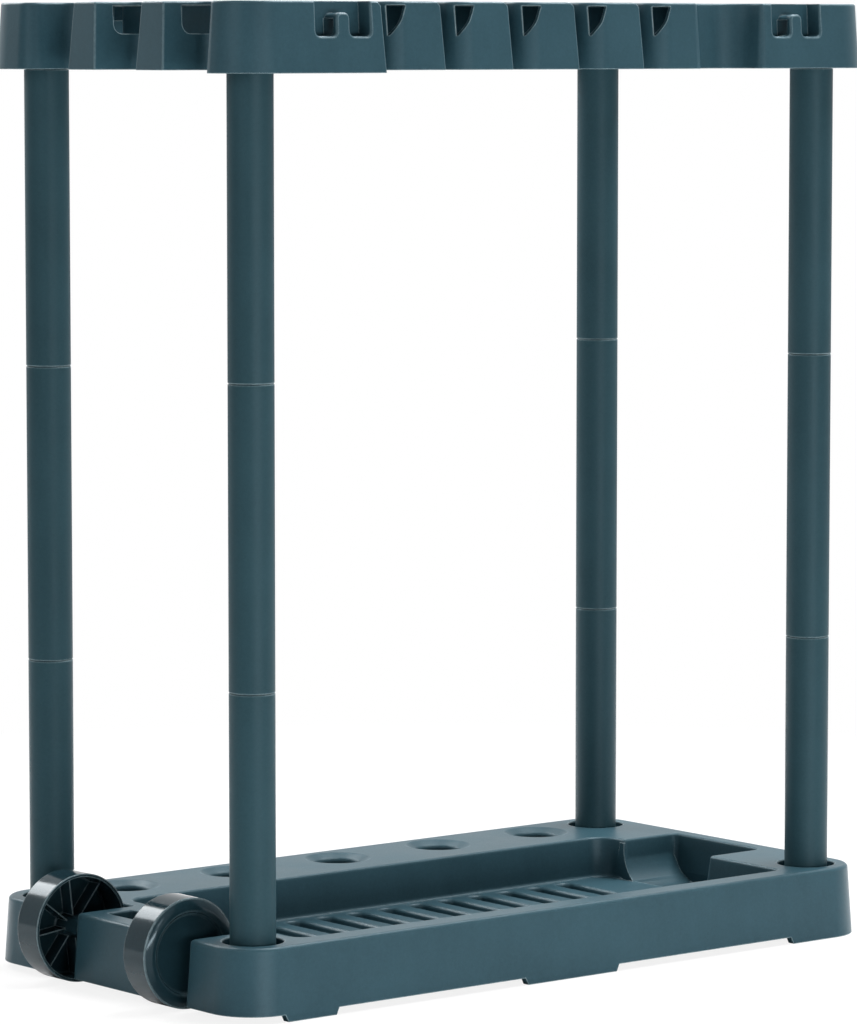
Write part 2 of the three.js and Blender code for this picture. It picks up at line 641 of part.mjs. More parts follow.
// One wheel with its closed face towards -Y, and its axle line along Y through the origin.
function makeWheel() {
  const open = WHEEL_WIDTH;
  const hubEnd = WHEEL_WIDTH + WHEEL_INNER_GAP - HUB_RUNNING_GAP;
  const inner = WHEEL_RADIUS - WHEEL_WALL;
  const dish = WHEEL_DISH_DEPTH;
  const bore = AXLE_RADIUS + FIT_GAP;
  const boreEnd = dish + AXLE_CAP;
  const round = WHEEL_EDGE * (1 - Math.SQRT1_2);
  const profile = [
    [0, dish],
    [WHEEL_DISH_RADIUS - dish, dish],
    [WHEEL_DISH_RADIUS, 0],
    [WHEEL_RADIUS - WHEEL_EDGE, 0],
    [WHEEL_RADIUS - round, round],
    [WHEEL_RADIUS, WHEEL_EDGE],
    [WHEEL_RADIUS, open],
    [inner, open],
    [inner, WHEEL_WALL + dish],
    [HUB_RADIUS, WHEEL_WALL + dish],
    [HUB_RADIUS, hubEnd],
    [bore, hubEnd],
    [bore, boreEnd],
    [0, boreEnd],
  ];
  const shell = turned(profile, 0, 0, WHEEL_SIDES);
  const spokes = Array.from({ length: SPOKE_COUNT }, (_, k) => {
    const half = SPOKE_THICKNESS / 2;
    const geometry = new THREE.BoxGeometry(
      WHEEL_RADIUS - WHEEL_WALL / 2 - (HUB_RADIUS + bore) / 2,
      2 * half,
      open - SPOKE_RECESS - WHEEL_WALL,
    );
    const middle = (WHEEL_RADIUS - WHEEL_WALL / 2 + (HUB_RADIUS + bore) / 2) / 2;
    geometry.translate(middle, 0, (open - SPOKE_RECESS + WHEEL_WALL) / 2);
    geometry.rotateZ(SPOKE_TURN + (k * 2 * Math.PI) / SPOKE_COUNT);
    return solidOf(geometry);
  });
  return union([shell, ...spokes]);
}

// Outline of the rack's top edge, anticlockwise from the front left corner.
function rackOutline() {
  const front = -HALF_Y;
  const left = -HALF_X;
  const notchEnd = front + FRONT_NOTCH_DEPTH;
  const corners = [[left, front, RACK_CORNER, 6]];
  for (let k = 0; k < FRONT_NOTCH_COUNT; k += 1) {
    const start = FRONT_FIRST + k * FRONT_PITCH;
    const from = k === 0 ? FRONT_BLOCK_RIGHT : start;
    const flank = start + FRONT_NOTCH_WIDTH;
    const round = (flank - from) * END_ROUND_SHARE;
    corners.push([from, front, SHARP, 1]);
    corners.push([from, notchEnd, round, 3]);
    corners.push([flank, notchEnd, round, 3]);
    corners.push([flank, front, FRONT_FLARE, 5]);
  }
  corners.push([PANEL_LEFT, front, PANEL_CORNER, 2]);
  corners.push([PANEL_LEFT + PANEL_LEFT_RUN, front + PANEL_DEPTH, PANEL_CORNER, 2]);
  corners.push([PANEL_RIGHT - PANEL_RIGHT_RUN, front + PANEL_DEPTH, PANEL_CORNER, 2]);
  corners.push([PANEL_RIGHT, front, PANEL_CORNER, 2]);
  corners.push([HALF_X, front, RACK_CORNER, 6]);
  corners.push([HALF_X, HALF_Y, RACK_CORNER, 6]);
  corners.push([left, HALF_Y, RACK_CORNER, 6]);
  const end = left + SIDE_NOTCH_DEPTH;
  for (let k = 0; k < SIDE_NOTCH_COUNT; k += 1) {
    const back = SIDE_FIRST - k * SIDE_PITCH;
    const last = k === SIDE_NOTCH_COUNT - 1;
    const near = last ? FRONT_BLOCK_BACK : back - SIDE_PITCH + SIDE_TOOTH;
    const slant = last ? FRONT_BLOCK_SLANT : 0;
    corners.push([left, back, k === 0 ? BACK_BLOCK_ROUND : SHARP, k === 0 ? 4 : 1]);
    corners.push([end, back, SIDE_NOTCH_CORNER, 3]);
    corners.push([end, near + slant, SIDE_NOTCH_CORNER, 3]);
    corners.push([left, near, SHARP, 1]);
  }
  return corners;
}

function makeRack() {
  const outline = rackOutline();
  const bottom = RACK_BOTTOM;
  const top = RACK_TOP;
  const roof = top - RACK_WALL;
  const above = top + CUT;
  const left = -HALF_X;

  const shell = moulding(outline, bottom, top, RACK_DRAFT, RACK_EDGE);

  // The front left block reaches a little lower than the rest of the rack.
  const band = loft([
    [bottom - RACK_LIP, rounded(outline, RACK_DRAFT)],
    [bottom + RACK_LIP_REACH, rounded(outline, RACK_DRAFT - RACK_LIP_REACH * (RACK_DRAFT / RACK_HEIGHT))],
  ]);
  const lipBox = (right, back) =>
    box(left - 2 * CUT, right, -HALF_Y - 2 * CUT, back, bottom - 2 * CUT, bottom + RACK_LIP_REACH);
  const lipArea = union([
    lipBox(FRONT_BLOCK_RIGHT + 2 * SHARP + RACK_DRAFT / 2, -HALF_Y + FRONT_NOTCH_DEPTH - RACK_DRAFT),
    lipBox(left + SIDE_NOTCH_DEPTH, FRONT_BLOCK_BACK + FRONT_BLOCK_SLANT),
  ]);
  const lip = band.intersect(lipArea);

  const boss = ({ x, y }) => rod(BOSS_RADIUS, bottom, top - RACK_EDGE, x, y, TUBE_SIDES + 4);
  const bossBore = ({ x, y }) =>
    rod(
      SPIGOT_RADIUS + FIT_GAP,
      bottom - CUT,
      bottom + SPIGOT_LENGTH + FIT_GAP + SEAM,
      x,
      y,
      TUBE_SIDES + 4,
    );

  // Ring of deep ribs that stiffens the middle and closes the teeth at their backs
  const ringArea = rectangle(-RING_HALF_X, RING_HALF_X, RING_FRONT, RING_BACK, OPENING_CORNER, 4);
  const ring = prism(ringArea, top - RING_DEPTH, roof + RACK_EDGE / 2).subtract(
    prism(ringArea, top - RING_DEPTH - CUT, above, -RACK_WALL),
  );
  const collar = (x) =>
    rod(HANDLE_HOLE_RADIUS + HANDLE_COLLAR_WALL, roof - HANDLE_COLLAR, roof + RACK_EDGE / 2, x, CUP_Y, 32);
  const handleHole = (x) => rod(HANDLE_HOLE_RADIUS, bottom - 2 * CUT, above, x, CUP_Y, 32);

  const openingSpan = 2 * (RING_HALF_X - OPENING_MARGIN) - (OPENING_COUNT - 1) * OPENING_GAP;
  const openingWidth = openingSpan / OPENING_COUNT;
  const openings = Array.from({ length: OPENING_COUNT }, (_, i) => {
    const x = -RING_HALF_X + OPENING_MARGIN + i * (openingWidth + OPENING_GAP);
    const area = rectangle(
      x,
      x + openingWidth,
      RING_FRONT + OPENING_MARGIN,
      RING_BACK - OPENING_MARGIN,
      OPENING_CORNER,
      4,
    );
    return prism(area, bottom - 2 * CUT, above);
  });
  const grip = prism(
    rectangle(GRIP_LEFT, GRIP_RIGHT, GRIP_FRONT, GRIP_BACK, GRIP_CORNER, 4),
    bottom - 2 * CUT,
    above,
  );

  // A hook pocket is a box open at the front and top. Its tongue stands up between the two slots.
  const pocket = ([from, to], grow) =>
    box(
      from - grow,
      to + grow,
      -HALF_Y - 2 * CUT,
      -HALF_Y + HOOK_DEPTH + grow,
      top - HOOK_DROP - grow,
      above,
    );
  const tongue = ([pocketFrom, pocketTo]) => {
    const from = (pocketFrom + pocketTo - TONGUE_WIDTH) / 2;
    const to = from + TONGUE_WIDTH;
    const head = top - TONGUE_DROP;
    const foot = top - HOOK_DROP - RACK_WALL;
    const profile = [
      [from, foot],
      [to, foot],
      [to, head - HOOK_ROUND],
      [to - HOOK_ROUND, head],
      [from + HOOK_ROUND, head],
      [from, head - HOOK_ROUND],
    ];
    const reach = -HALF_Y + HOOK_DEPTH + RACK_WALL / 2;
    return prismAlong("y", profile, -HALF_Y - 2 * CUT, reach);
  };

  const islands = union([
    ...POSTS.map(boss),
    ring,
    ...cupXs.map(collar),
    ...HOOKS.map((span) => pocket(span, RACK_WALL)),
  ]);
  const cavity = loft([
    [bottom - CUT, rounded(outline, RACK_DRAFT - RACK_WALL)],
    [roof, rounded(outline, -RACK_WALL)],
  ]).subtract(islands);

  // Windows below the top: triangles in the flared sides of the front notches
  const frontWindows = Array.from({ length: FRONT_NOTCH_COUNT }, (_, k) => {
    const start = FRONT_FIRST + k * FRONT_PITCH;
    const from = start + FRONT_NOTCH_WIDTH + FRONT_WINDOW_GAP;
    const to = from + FRONT_WINDOW_WIDTH;
    const low = top - FRONT_WINDOW_DROP - RACK_WALL;
    const bow = (to - from) * FRONT_WINDOW_BOW_SHARE;
    const profile = [
      [from, roof],
      [from, low],
      [(from + to) / 2 + bow, (low + roof) / 2],
      [to, roof],
    ];
    return prismAlong("y", profile, -HALF_Y - 2 * CUT, -HALF_Y + FRONT_FLARE + CUT);
  });
  // Windows with round lower corners in the left end's notches but the first, through the flank and the
  // inner wall
  const sideWindows = Array.from({ length: SIDE_NOTCH_COUNT - 1 }, (_, k) => {
    const back = SIDE_FIRST - (k + 1) * SIDE_PITCH;
    const low = top - SIDE_WINDOW_DROP;
    const from = left + SIDE_WINDOW_FROM;
    const to = left + SIDE_NOTCH_DEPTH + RACK_WALL + RACK_DRAFT;
    const profile = [
      [from, roof],
      [from, low + SIDE_WINDOW_ROUND],
      [from + SIDE_WINDOW_ROUND * (1 - Math.SQRT1_2), low + SIDE_WINDOW_ROUND * (1 - Math.SQRT1_2)],
      [from + SIDE_WINDOW_ROUND, low],
      [to, low],
      [to, roof],
    ];
    return prismAlong("y", profile, back - SIDE_WINDOW_REACH, back + RACK_WALL + RACK_DRAFT);
  });

  const hooks = HOOKS.map((span) => pocket(span, 0).subtract(tongue(span)));
  const cuts = [
    cavity,
    ...frontWindows,
    ...sideWindows,
    ...hooks,
    ...POSTS.map(bossBore),
    ...openings,
    grip,
    ...cupXs.map(handleHole),
  ];
  return union([shell, lip]).subtract(union(cuts));
}

const root = new THREE.Group();
// The wheels reach past the left end, so the middle of the whole length lies left of the tray's middle.
const reachLeft = AXLE_X - WHEEL_RADIUS;
const reachRight = HALF_X + BASE_DRAFT;
root.position.x = -(reachLeft + reachRight) / 2;

root.add(meshOf("base_tray", makeBase(), plastic(MOULDED)));

const LEVELS = ["lower", "middle", "upper"];
const tube = makeTube();
POSTS.forEach(({ name, x, y }) => {
  const post = new THREE.Group();
  post.position.set(x, y, TUBE_SEAT);
  LEVELS.forEach((level, i) => {
    const mesh = meshOf("post_" + name + "_" + level, tube, plastic(TUBE));
    mesh.position.z = i * TUBE_PITCH;
    post.add(mesh);
  });
  root.add(post);
});

root.add(meshOf("top_rack", makeRack(), plastic(MOULDED)));

const axleHalf = WHEEL_OUTER_FACE - WHEEL_DISH_DEPTH - AXLE_CAP - FIT_GAP;
const axleShape = new THREE.CylinderGeometry(AXLE_RADIUS, AXLE_RADIUS, 2 * axleHalf, 24);
const axleMaterial = new THREE.MeshStandardMaterial({ color: STEEL, roughness: 0.35, metalness: 0.9 });
const axle = meshOf("axle_rod", solidOf(axleShape), axleMaterial);
axle.position.set(AXLE_X, 0, AXLE_Z);
root.add(axle);

// The wheel's own axis stands along its Z, so each is tipped towards its side of the base.
const wheel = makeWheel();
[
  ["wheel_front", -1],
  ["wheel_back", 1],
].forEach(([name, side]) => {
  const mesh = meshOf(name, wheel, plastic(WHEEL));
  mesh.rotation.x = (side * Math.PI) / 2;
  mesh.position.set(AXLE_X, side * WHEEL_OUTER_FACE, AXLE_Z);
  root.add(mesh);
});

export default root;
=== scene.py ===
# %% [markdown]
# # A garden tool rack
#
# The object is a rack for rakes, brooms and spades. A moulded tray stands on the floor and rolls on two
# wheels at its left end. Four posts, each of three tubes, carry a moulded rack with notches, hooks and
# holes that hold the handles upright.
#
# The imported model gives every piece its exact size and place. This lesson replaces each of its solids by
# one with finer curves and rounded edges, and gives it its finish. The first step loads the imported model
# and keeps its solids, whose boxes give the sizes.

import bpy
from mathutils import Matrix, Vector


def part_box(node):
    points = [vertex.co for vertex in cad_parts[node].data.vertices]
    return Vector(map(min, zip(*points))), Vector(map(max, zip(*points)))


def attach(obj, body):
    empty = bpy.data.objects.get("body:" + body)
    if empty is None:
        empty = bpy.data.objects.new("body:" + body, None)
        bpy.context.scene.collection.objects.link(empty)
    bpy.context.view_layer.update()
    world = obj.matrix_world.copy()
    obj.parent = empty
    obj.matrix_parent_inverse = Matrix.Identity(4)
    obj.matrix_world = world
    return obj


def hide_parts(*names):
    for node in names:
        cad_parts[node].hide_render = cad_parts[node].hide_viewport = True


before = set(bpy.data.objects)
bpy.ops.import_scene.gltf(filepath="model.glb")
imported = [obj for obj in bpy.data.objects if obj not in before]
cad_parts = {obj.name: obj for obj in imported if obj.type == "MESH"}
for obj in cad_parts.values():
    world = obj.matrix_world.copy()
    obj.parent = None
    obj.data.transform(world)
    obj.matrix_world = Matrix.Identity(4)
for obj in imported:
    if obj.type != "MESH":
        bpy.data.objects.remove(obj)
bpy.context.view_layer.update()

# %% [markdown]
# ## Measures
#
# A moulding is drawn from its own middle, in millimetres, because that is how its maker thinks of it.
# Blender works in metres about the middle of the whole object, and the wheels stick out at the left, so
# the tray's middle lies a little to the right. One function turns a drawn place into a real one, and
# another turns it back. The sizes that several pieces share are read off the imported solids.

# %% Drawn millimetres and real metres
import math

import bmesh
import bpy
from mathutils import Vector

MM = 0.001
left_post, right_post = (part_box(f"post_front_{side}_lower") for side in ("left", "right"))
TRAY_MIDDLE = (left_post[0][0] + right_post[1][0]) / 2 / MM


def point(x, y, z):
    """A real place, from millimetres measured from the tray's middle on the floor."""
    return Vector(((x + TRAY_MIDDLE) * MM, y * MM, z * MM))


def drawn(place):
    """Millimetres from the tray's middle on the floor, from a real place."""
    return Vector((place.x / MM - TRAY_MIDDLE, place.y / MM, place.z / MM))


def extent(node):
    """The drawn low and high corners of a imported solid."""
    low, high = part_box(node)
    return drawn(Vector(low)), drawn(Vector(high))


tube_low, tube_high = extent("post_back_right_lower")
TUBE_RADIUS = (tube_high.x - tube_low.x) / 2
POST_X = (tube_low.x + tube_high.x) / 2
POST_Y = (tube_low.y + tube_high.y) / 2
TUBE_SEAT = tube_low.z
TUBE_PITCH = extent("post_back_right_middle")[0].z - TUBE_SEAT
TUBE_LEVELS = ("lower", "middle", "upper")  # the tubes of a post
RACK_BOTTOM = TUBE_SEAT + len(TUBE_LEVELS) * TUBE_PITCH
RACK_TOP = extent("top_rack")[1].z
BASE_TOP = extent("base_tray")[1].z
CORNER = 37.2  # from a post's axis to the edge, and the radius of the tray's corners
HALF_X = POST_X + CORNER
HALF_Y = POST_Y + CORNER
BASE_DRAFT = 4  # how much wider the tray is at the floor than at its top
WALL = 3  # thickness of the mouldings
FIT = 0.3  # gap between two pieces that fit into each other
CUT = 6  # how far a cut runs past the surface that it opens
TOUCH = 0.01  # two drawn places closer than this are the same
print(f"tray {2 * HALF_X:.1f} x {2 * HALF_Y:.1f} x {BASE_TOP:.1f} mm, rack top at {RACK_TOP:.1f} mm")

# %% [markdown]
# ## Camera
#
# The picture was taken from the front left, a little below the height of the rack, with a long lens. A
# long lens far away keeps upright edges almost parallel, as they are there. The camera is tilted down by
# a few degrees and needs no shift.

# %% The camera
CAMERA_PLACE = (-2.693937, -3.333944, 0.78746)
CAMERA_TILT = 5.394  # degrees below level
CAMERA_TURN = -39.0085  # degrees from straight at the front
CAMERA_LENS = 175.24  # mm
CAMERA_SENSOR = 36  # mm, along the longer side of the picture

turn = (math.radians(90 - CAMERA_TILT), 0, math.radians(CAMERA_TURN))
bpy.ops.object.camera_add(location=CAMERA_PLACE, rotation=turn)
camera = bpy.context.object
camera.data.sensor_width = CAMERA_SENSOR
camera.data.lens = CAMERA_LENS
bpy.context.scene.camera = camera
print("camera", [round(value, 3) for value in camera.location])

# %% [markdown]
# ## Hands
#
# An operator acts on whatever is selected, so every step starts from nothing selected and then selects
# by place. These few helpers do what a hand does in the viewport: enter edit mode, pick points or faces
# where they lie, and leave the finished mesh with its origin at the frame's origin.

# %% Selecting by place
def start():
    """Leaves edit mode and selects nothing."""
    if bpy.context.object and bpy.context.object.mode != "OBJECT":
        bpy.ops.object.mode_set(mode="OBJECT")
    bpy.ops.object.select_all(action="DESELECT")


def activate(obj):
    start()
    obj.select_set(True)
    bpy.context.view_layer.objects.active = obj


def edit_all(obj):
    """Enters edit mode with everything selected."""
    activate(obj)
    bpy.ops.object.mode_set(mode="EDIT")
    bpy.ops.mesh.select_all(action="SELECT")


def pick_points(obj, test):
    """Selects the points whose drawn place passes the test, and what lies between them."""
    bpy.ops.mesh.select_mode(type="VERT")
    bpy.ops.mesh.select_all(action="DESELECT")
    mesh = bmesh.from_edit_mesh(obj.data)
    for vert in mesh.verts:
        vert.select_set(test(drawn(obj.matrix_world @ vert.co)))
    mesh.select_flush(True)
    bmesh.update_edit_mesh(obj.data)


def pick_at(obj, places):
    """Selects the points at some drawn places."""
    pick_points(obj, lambda p: any((p - place).length < TOUCH for place in places))


def face_outwards():
    """Turns all faces of the mesh in edit mode outwards."""
    bpy.ops.mesh.select_all(action="SELECT")
    bpy.ops.mesh.normals_make_consistent(inside=False)


def finished(obj, name):
    """Leaves edit mode, moves the origin to the frame's origin and names the object."""
    activate(obj)
    bpy.ops.object.transform_apply(location=True, rotation=True, scale=True)
    obj.name = name
    return obj


def measured(obj):
    """Prints the piece's triangles and volume, and whether its surface is closed."""
    mesh = bmesh.new()
    mesh.from_mesh(obj.data)
    triangles = len(mesh.calc_loop_triangles())
    gaps = sum(len(edge.link_faces) != 2 for edge in mesh.edges)
    volume = mesh.calc_volume() / (10 * MM) ** 3
    mesh.free()
    print(f"{obj.name}: {triangles} triangles, {gaps} open edges, {volume:.1f} cm3")
    return obj


start()
print("nothing selected:", not bpy.context.selected_objects)

# %% [markdown]
# ## Outlines
#
# Most forms here are moulded: an outline in plan, drawn upwards with a slight taper so that the piece
# leaves its mould. One could loft it from computed rings. By hand it is quicker to draw a loop of
# corners, round those with a bevel, and then extrude the loop and fatten it ring by ring. A ring that is
# fattened evenly keeps its walls parallel, which scaling doesn't, so a notch tapers the right way too.

# %% A rounded outline
def across(plane, u, v, level):
    """A real place from two drawn numbers in a plane and the level across it."""
    if plane == "XY":
        return point(u, v, level)
    return point(u, level, v) if plane == "XZ" else point(level, u, v)


def with_radii(corners):
    """Corners as (u, v, radius, steps). A pair (u, v) is a sharp corner."""
    return [(*corner, 0, 0)[:4] for corner in corners]


def directions(corners, i):
    here, before, after = (Vector(corners[k % len(corners)][:2]) for k in (i, i - 1, i + 1))
    return (here - before).normalized(), (after - here).normalized()


def grown(corners, growth):
    """An outline moved outwards evenly. Its corners run anticlockwise."""
    moved = []
    for i, (u, v, radius, steps) in enumerate(with_radii(corners)):
        one, two = directions(corners, i)
        mitre = Vector((one.y + two.y, -one.x - two.x))
        spot = Vector((u, v)) + mitre * (2 * growth / mitre.length_squared)
        gain = growth if one.cross(two) > 0 else -growth
        rounding = max(radius + gain, radius / 10) if radius else 0  # no round corner turns sharp
        moved.append((spot.x, spot.y, rounding, steps))
    return moved


def rectangle(left, right, front, back, radius, steps=8):
    places = [(left, front), (right, front), (right, back), (left, back)]
    return [(u, v, radius, steps) for u, v in places]


def trace(corners, plane="XY", level=0, closed=True):
    """Draws corners one after another by extruding a single point, and rounds them by a bevel."""
    start()
    corners = with_radii(corners)
    spots = [across(plane, u, v, level) for u, v, _, _ in corners]
    bpy.ops.mesh.primitive_plane_add(size=CUT * MM, location=spots[0], enter_editmode=True)
    obj = bpy.context.object
    bpy.ops.mesh.merge(type="CENTER")
    for here, there in zip(spots, spots[1:]):
        bpy.ops.mesh.extrude_region_move(TRANSFORM_OT_translate={"value": there - here})
    if closed:
        pick_at(obj, [drawn(spots[0]), drawn(spots[-1])])
        bpy.ops.mesh.edge_face_add()
    roundings = {}
    for i, (_, _, radius, steps) in enumerate(corners):
        if radius:
            one, two = directions(corners, i)
            reach = round(radius * math.tan(one.angle(two) / 2), 4)
            roundings.setdefault((reach, steps), []).append(drawn(spots[i]))
    for (reach, steps), places in roundings.items():
        pick_at(obj, places)
        bpy.ops.mesh.bevel(offset=reach * MM, segments=steps, affect="VERTICES", clamp_overlap=False)
    return obj


print("across XZ:", [round(value, 3) for value in across("XZ", 0, 10, 20)])

# %% [markdown]
# A form is a list of rings, each a level and how far the outline has grown there. A quarter circle of
# rings makes a rounded edge, and because it ends level with the surface, the light runs over it without
# a break. The same quarter circle turned over makes the rounded foot of a hollow.

# %% A form that grows from its outline
def form(name, corners, rings, plane="XY"):
    """A closed form from an outline and rings of (level, growth), in rising or falling order."""
    (level, growth), *others = rings
    obj = trace(grown(corners, growth), plane, level)
    along = across(plane, 0, 0, 1) - across(plane, 0, 0, 0)
    axis = "XYZ".index(({"X", "Y", "Z"} - set(plane)).pop())

    def ring(at):
        pick_points(obj, lambda p: abs(p[axis] - at) < TOUCH)

    for next_level, next_growth in others:
        ring(level)
        bpy.ops.mesh.extrude_region_move(TRANSFORM_OT_translate={"value": along * (next_level - level)})
        face_outwards()
        ring(next_level)
        fatter = next_growth - growth
        if abs(fatter) > TOUCH / 10:
            bpy.ops.transform.shrink_fatten(value=fatter * MM, use_even_offset=True)
        level, growth = next_level, next_growth
    bpy.ops.mesh.edge_face_add()
    ring(rings[0][0])
    bpy.ops.mesh.edge_face_add()
    face_outwards()
    return finished(obj, name)


def quarter(steps):
    """A quarter circle of radius one in steps: what is left to rise, and how far it has turned in."""
    angles = [math.pi / 2 * i / steps for i in range(steps + 1)]
    return [(1 - math.sin(angle), 1 - math.cos(angle)) for angle in angles]


def soft_top(top, radius, growth=0, side=-1, steps=5):
    """Rings of a rounded upper edge: side -1 turns it in, and +1 flares it out."""
    return [(top - radius * left, growth + side * radius * turned_in) for left, turned_in in quarter(steps)]


def soft_mouth(top, radius, out=CUT, growth=0):
    """Rings of the flared mouth of a hollow, and of its way out above."""
    return soft_top(top, radius, growth, side=1) + [(top + out, growth + radius)]


def soft_floor(floor, radius, growth=0, steps=4):
    """Rings of a hollow's rounded foot."""
    return [(floor + radius * risen, growth - radius * left) for left, risen in quarter(steps)]


print("rings of a 3 mm edge:", [(round(z, 2), round(g, 2)) for z, g in soft_top(0, 3, steps=2)])

# %% [markdown]
# Round pieces, such as a cup or a wheel, are turned: half of their section is drawn, and spun about the
# axis. Holes and hollows are then cut from a moulding with a Boolean modifier, because their edges meet
# each other in ways that would take long to model point by point.

# %% Turning, repeating and cutting
def turned(name, profile, middle, along="Z", steps=64, closed=False):
    """A turned form. A corner's first two numbers are its radius and its place along the axis."""
    plane, level = ("XZ", middle[1]) if along == "Z" else ("XY", middle[2])
    corners = [(middle[0] + r, v, *rounding) for r, v, *rounding in profile]
    obj = trace(corners, plane, level, closed)
    edit_all(obj)
    if closed:
        bpy.ops.mesh.delete(type="ONLY_FACE")
        edit_all(obj)
    axis = (0, 0, 1) if along == "Z" else (0, 1, 0)
    bpy.ops.mesh.spin(steps=steps, angle=math.tau, center=point(*middle), axis=axis)
    edit_all(obj)
    bpy.ops.mesh.remove_doubles(threshold=TOUCH * MM)
    face_outwards()
    return finished(obj, name)


def round_hole(name, middle, lower, rim, top, rounding, steps):
    """A turned tool: the lower part of its section, then a rim with a soft mouth and the way out."""
    outer = rim + WALL + 1
    mouth = [(rim, top, rounding, steps), (outer, top), (outer, top + CUT), (0, top + CUT)]
    return turned(name, lower + mouth, middle)


def rod(name, radius, low, high, middle, end=0, along="Z", steps=64):
    """A round bar between two places along its axis, with its ends' edges rounded."""
    section = [(0, low), (radius, low, end, 3), (radius, high, end, 3), (0, high)]
    return turned(name, section, middle, along, steps)


def repeated(obj, pitch, count):
    """Copies the form in its own mesh, each copy one pitch further to the right."""
    edit_all(obj)
    for _ in range(count - 1):
        bpy.ops.mesh.duplicate_move(TRANSFORM_OT_translate={"value": (pitch * MM, 0, 0)})
    start()
    return obj


def copied(obj, name, step):
    """A copy in its own mesh, one step (in mm) away."""
    activate(obj)
    bpy.ops.object.duplicate()
    bpy.ops.transform.translate(value=Vector(step) * MM)
    return finished(bpy.context.object, name)


def crisped(obj, places, reach, radius):
    """Gives the upright edges near the drawn places a small rounding."""
    edit_all(obj)
    for place in places:
        pick_points(obj, lambda p: (p.xy - Vector(place)).length < reach)
        bpy.ops.mesh.bevel(offset=radius * MM, segments=3, affect="EDGES", clamp_overlap=False)
    face_outwards()
    start()
    return obj


def combined(obj, operation, *tools):
    """Combines a form with its tools, which are used up."""
    for tool in tools:
        activate(obj)
        modifier = obj.modifiers.new(operation, "BOOLEAN")
        modifier.operation = operation
        modifier.solver = "MANIFOLD"
        modifier.object = tool
        bpy.ops.object.modifier_apply(modifier=modifier.name)
        bpy.data.objects.remove(tool)
    return obj


def cut(obj, *tools):
    return combined(obj, "DIFFERENCE", *tools)


def joined(obj, *tools):
    return combined(obj, "UNION", *tools)


def block(name, x, y, z):
    """A straight block between drawn limits, as a tool for cutting."""
    return form(name, rectangle(*x, *y, 0), [(z[0], 0), (z[1], 0)])


def slab(name, reach, low, high):
    """A block under or over the whole object, past its sides by a reach, that cuts it off level."""
    return block(name, (-HALF_X - reach, HALF_X + reach), (-HALF_Y - reach, HALF_Y + reach), (low, high))


print("tools ready")

# %% [markdown]
# ## Base tray: the outside
#
# The tray is one moulding, upside down like a shallow box, with the wheels let into its left end. The
# slots for the wheels are notches of the outline itself, so the soft top edge runs into them and round
# the block between them, as it does on the real one. The skirt leans out a little towards the floor.

# %% The tray's shell
BASE_EDGE = 3.5  # radius of the soft top edge
BLOCK_HALF = 54  # half the width of the block between the wheels
SLOT_OUTER = 105  # outer side of the wheel slots
SLOT_END = -284.8  # how far the slots reach in
SLOT_CORNER = 4
SLOT_LIMITS = ((SLOT_OUTER, BLOCK_HALF), (-BLOCK_HALF, -SLOT_OUTER))  # in the outline's order

plan = rectangle(-HALF_X, HALF_X, -HALF_Y, HALF_Y, CORNER, 16)
base_outline = list(plan)
for near, far in SLOT_LIMITS:
    slot_corners = ((-HALF_X, near), (SLOT_END, near), (SLOT_END, far), (-HALF_X, far))
    base_outline += [(x, y, SLOT_CORNER, 5) for x, y in slot_corners]
tray = form("tray_moulding", base_outline, [(0, BASE_DRAFT)] + soft_top(BASE_TOP, BASE_EDGE))
measured(tray)

# %% [markdown]
# ## Base tray: the bowl
#
# Tool heads stand in the bowl. Its ribbed floor lets the water run to a deeper end at the right, which
# lies between two platforms round the right posts, and a hollow curve runs down to it from the back one.
# The bowl's own form cuts it, and the same form with a wall round it stands below the top as an island
# in the hollow underside, which is how a moulding of even thickness looks from below.

# %% The bowl, its deep end and its ribs
TRAY_LEFT, TRAY_RIGHT = -272, 328
TRAY_FRONT, TRAY_BACK = -155.5, 83
TRAY_DEPTH = 36
TRAY_DRAFT = 4
FRONT_STEP = (264, -61)  # corner of the front right platform
BACK_STEP = (266, 54.5)  # corner of the back right platform
DEEP_DROP = 7.3  # how far the deep end and the grooves lie below the ribs
TRAY_FLOOR = BASE_TOP - TRAY_DEPTH
DEEP_FLOOR = TRAY_FLOOR - DEEP_DROP
ABOVE = BASE_TOP + CUT
RAMP_RADIUS = 40
RAMP_BACK = BACK_STEP[1] + 0.3  # just inside the platform, so that the curve runs into its side
GROOVE_COUNT = 14
GROOVE_FIRST, GROOVE_LAST = -242.8, 203.1
GROOVE_FRONT, GROOVE_BACK = TRAY_FRONT + 9.5, TRAY_BACK - 12
GROOVE_HALF = 7.5
GROOVE_END = 0.9 * GROOVE_HALF  # radius of a groove's corners in plan
GROOVE_FOOT, GROOVE_LIP = 3.4, 3.8  # radii below and above on a groove's walls
GROOVE_PITCH = (GROOVE_LAST - GROOVE_FIRST) / (GROOVE_COUNT - 1)

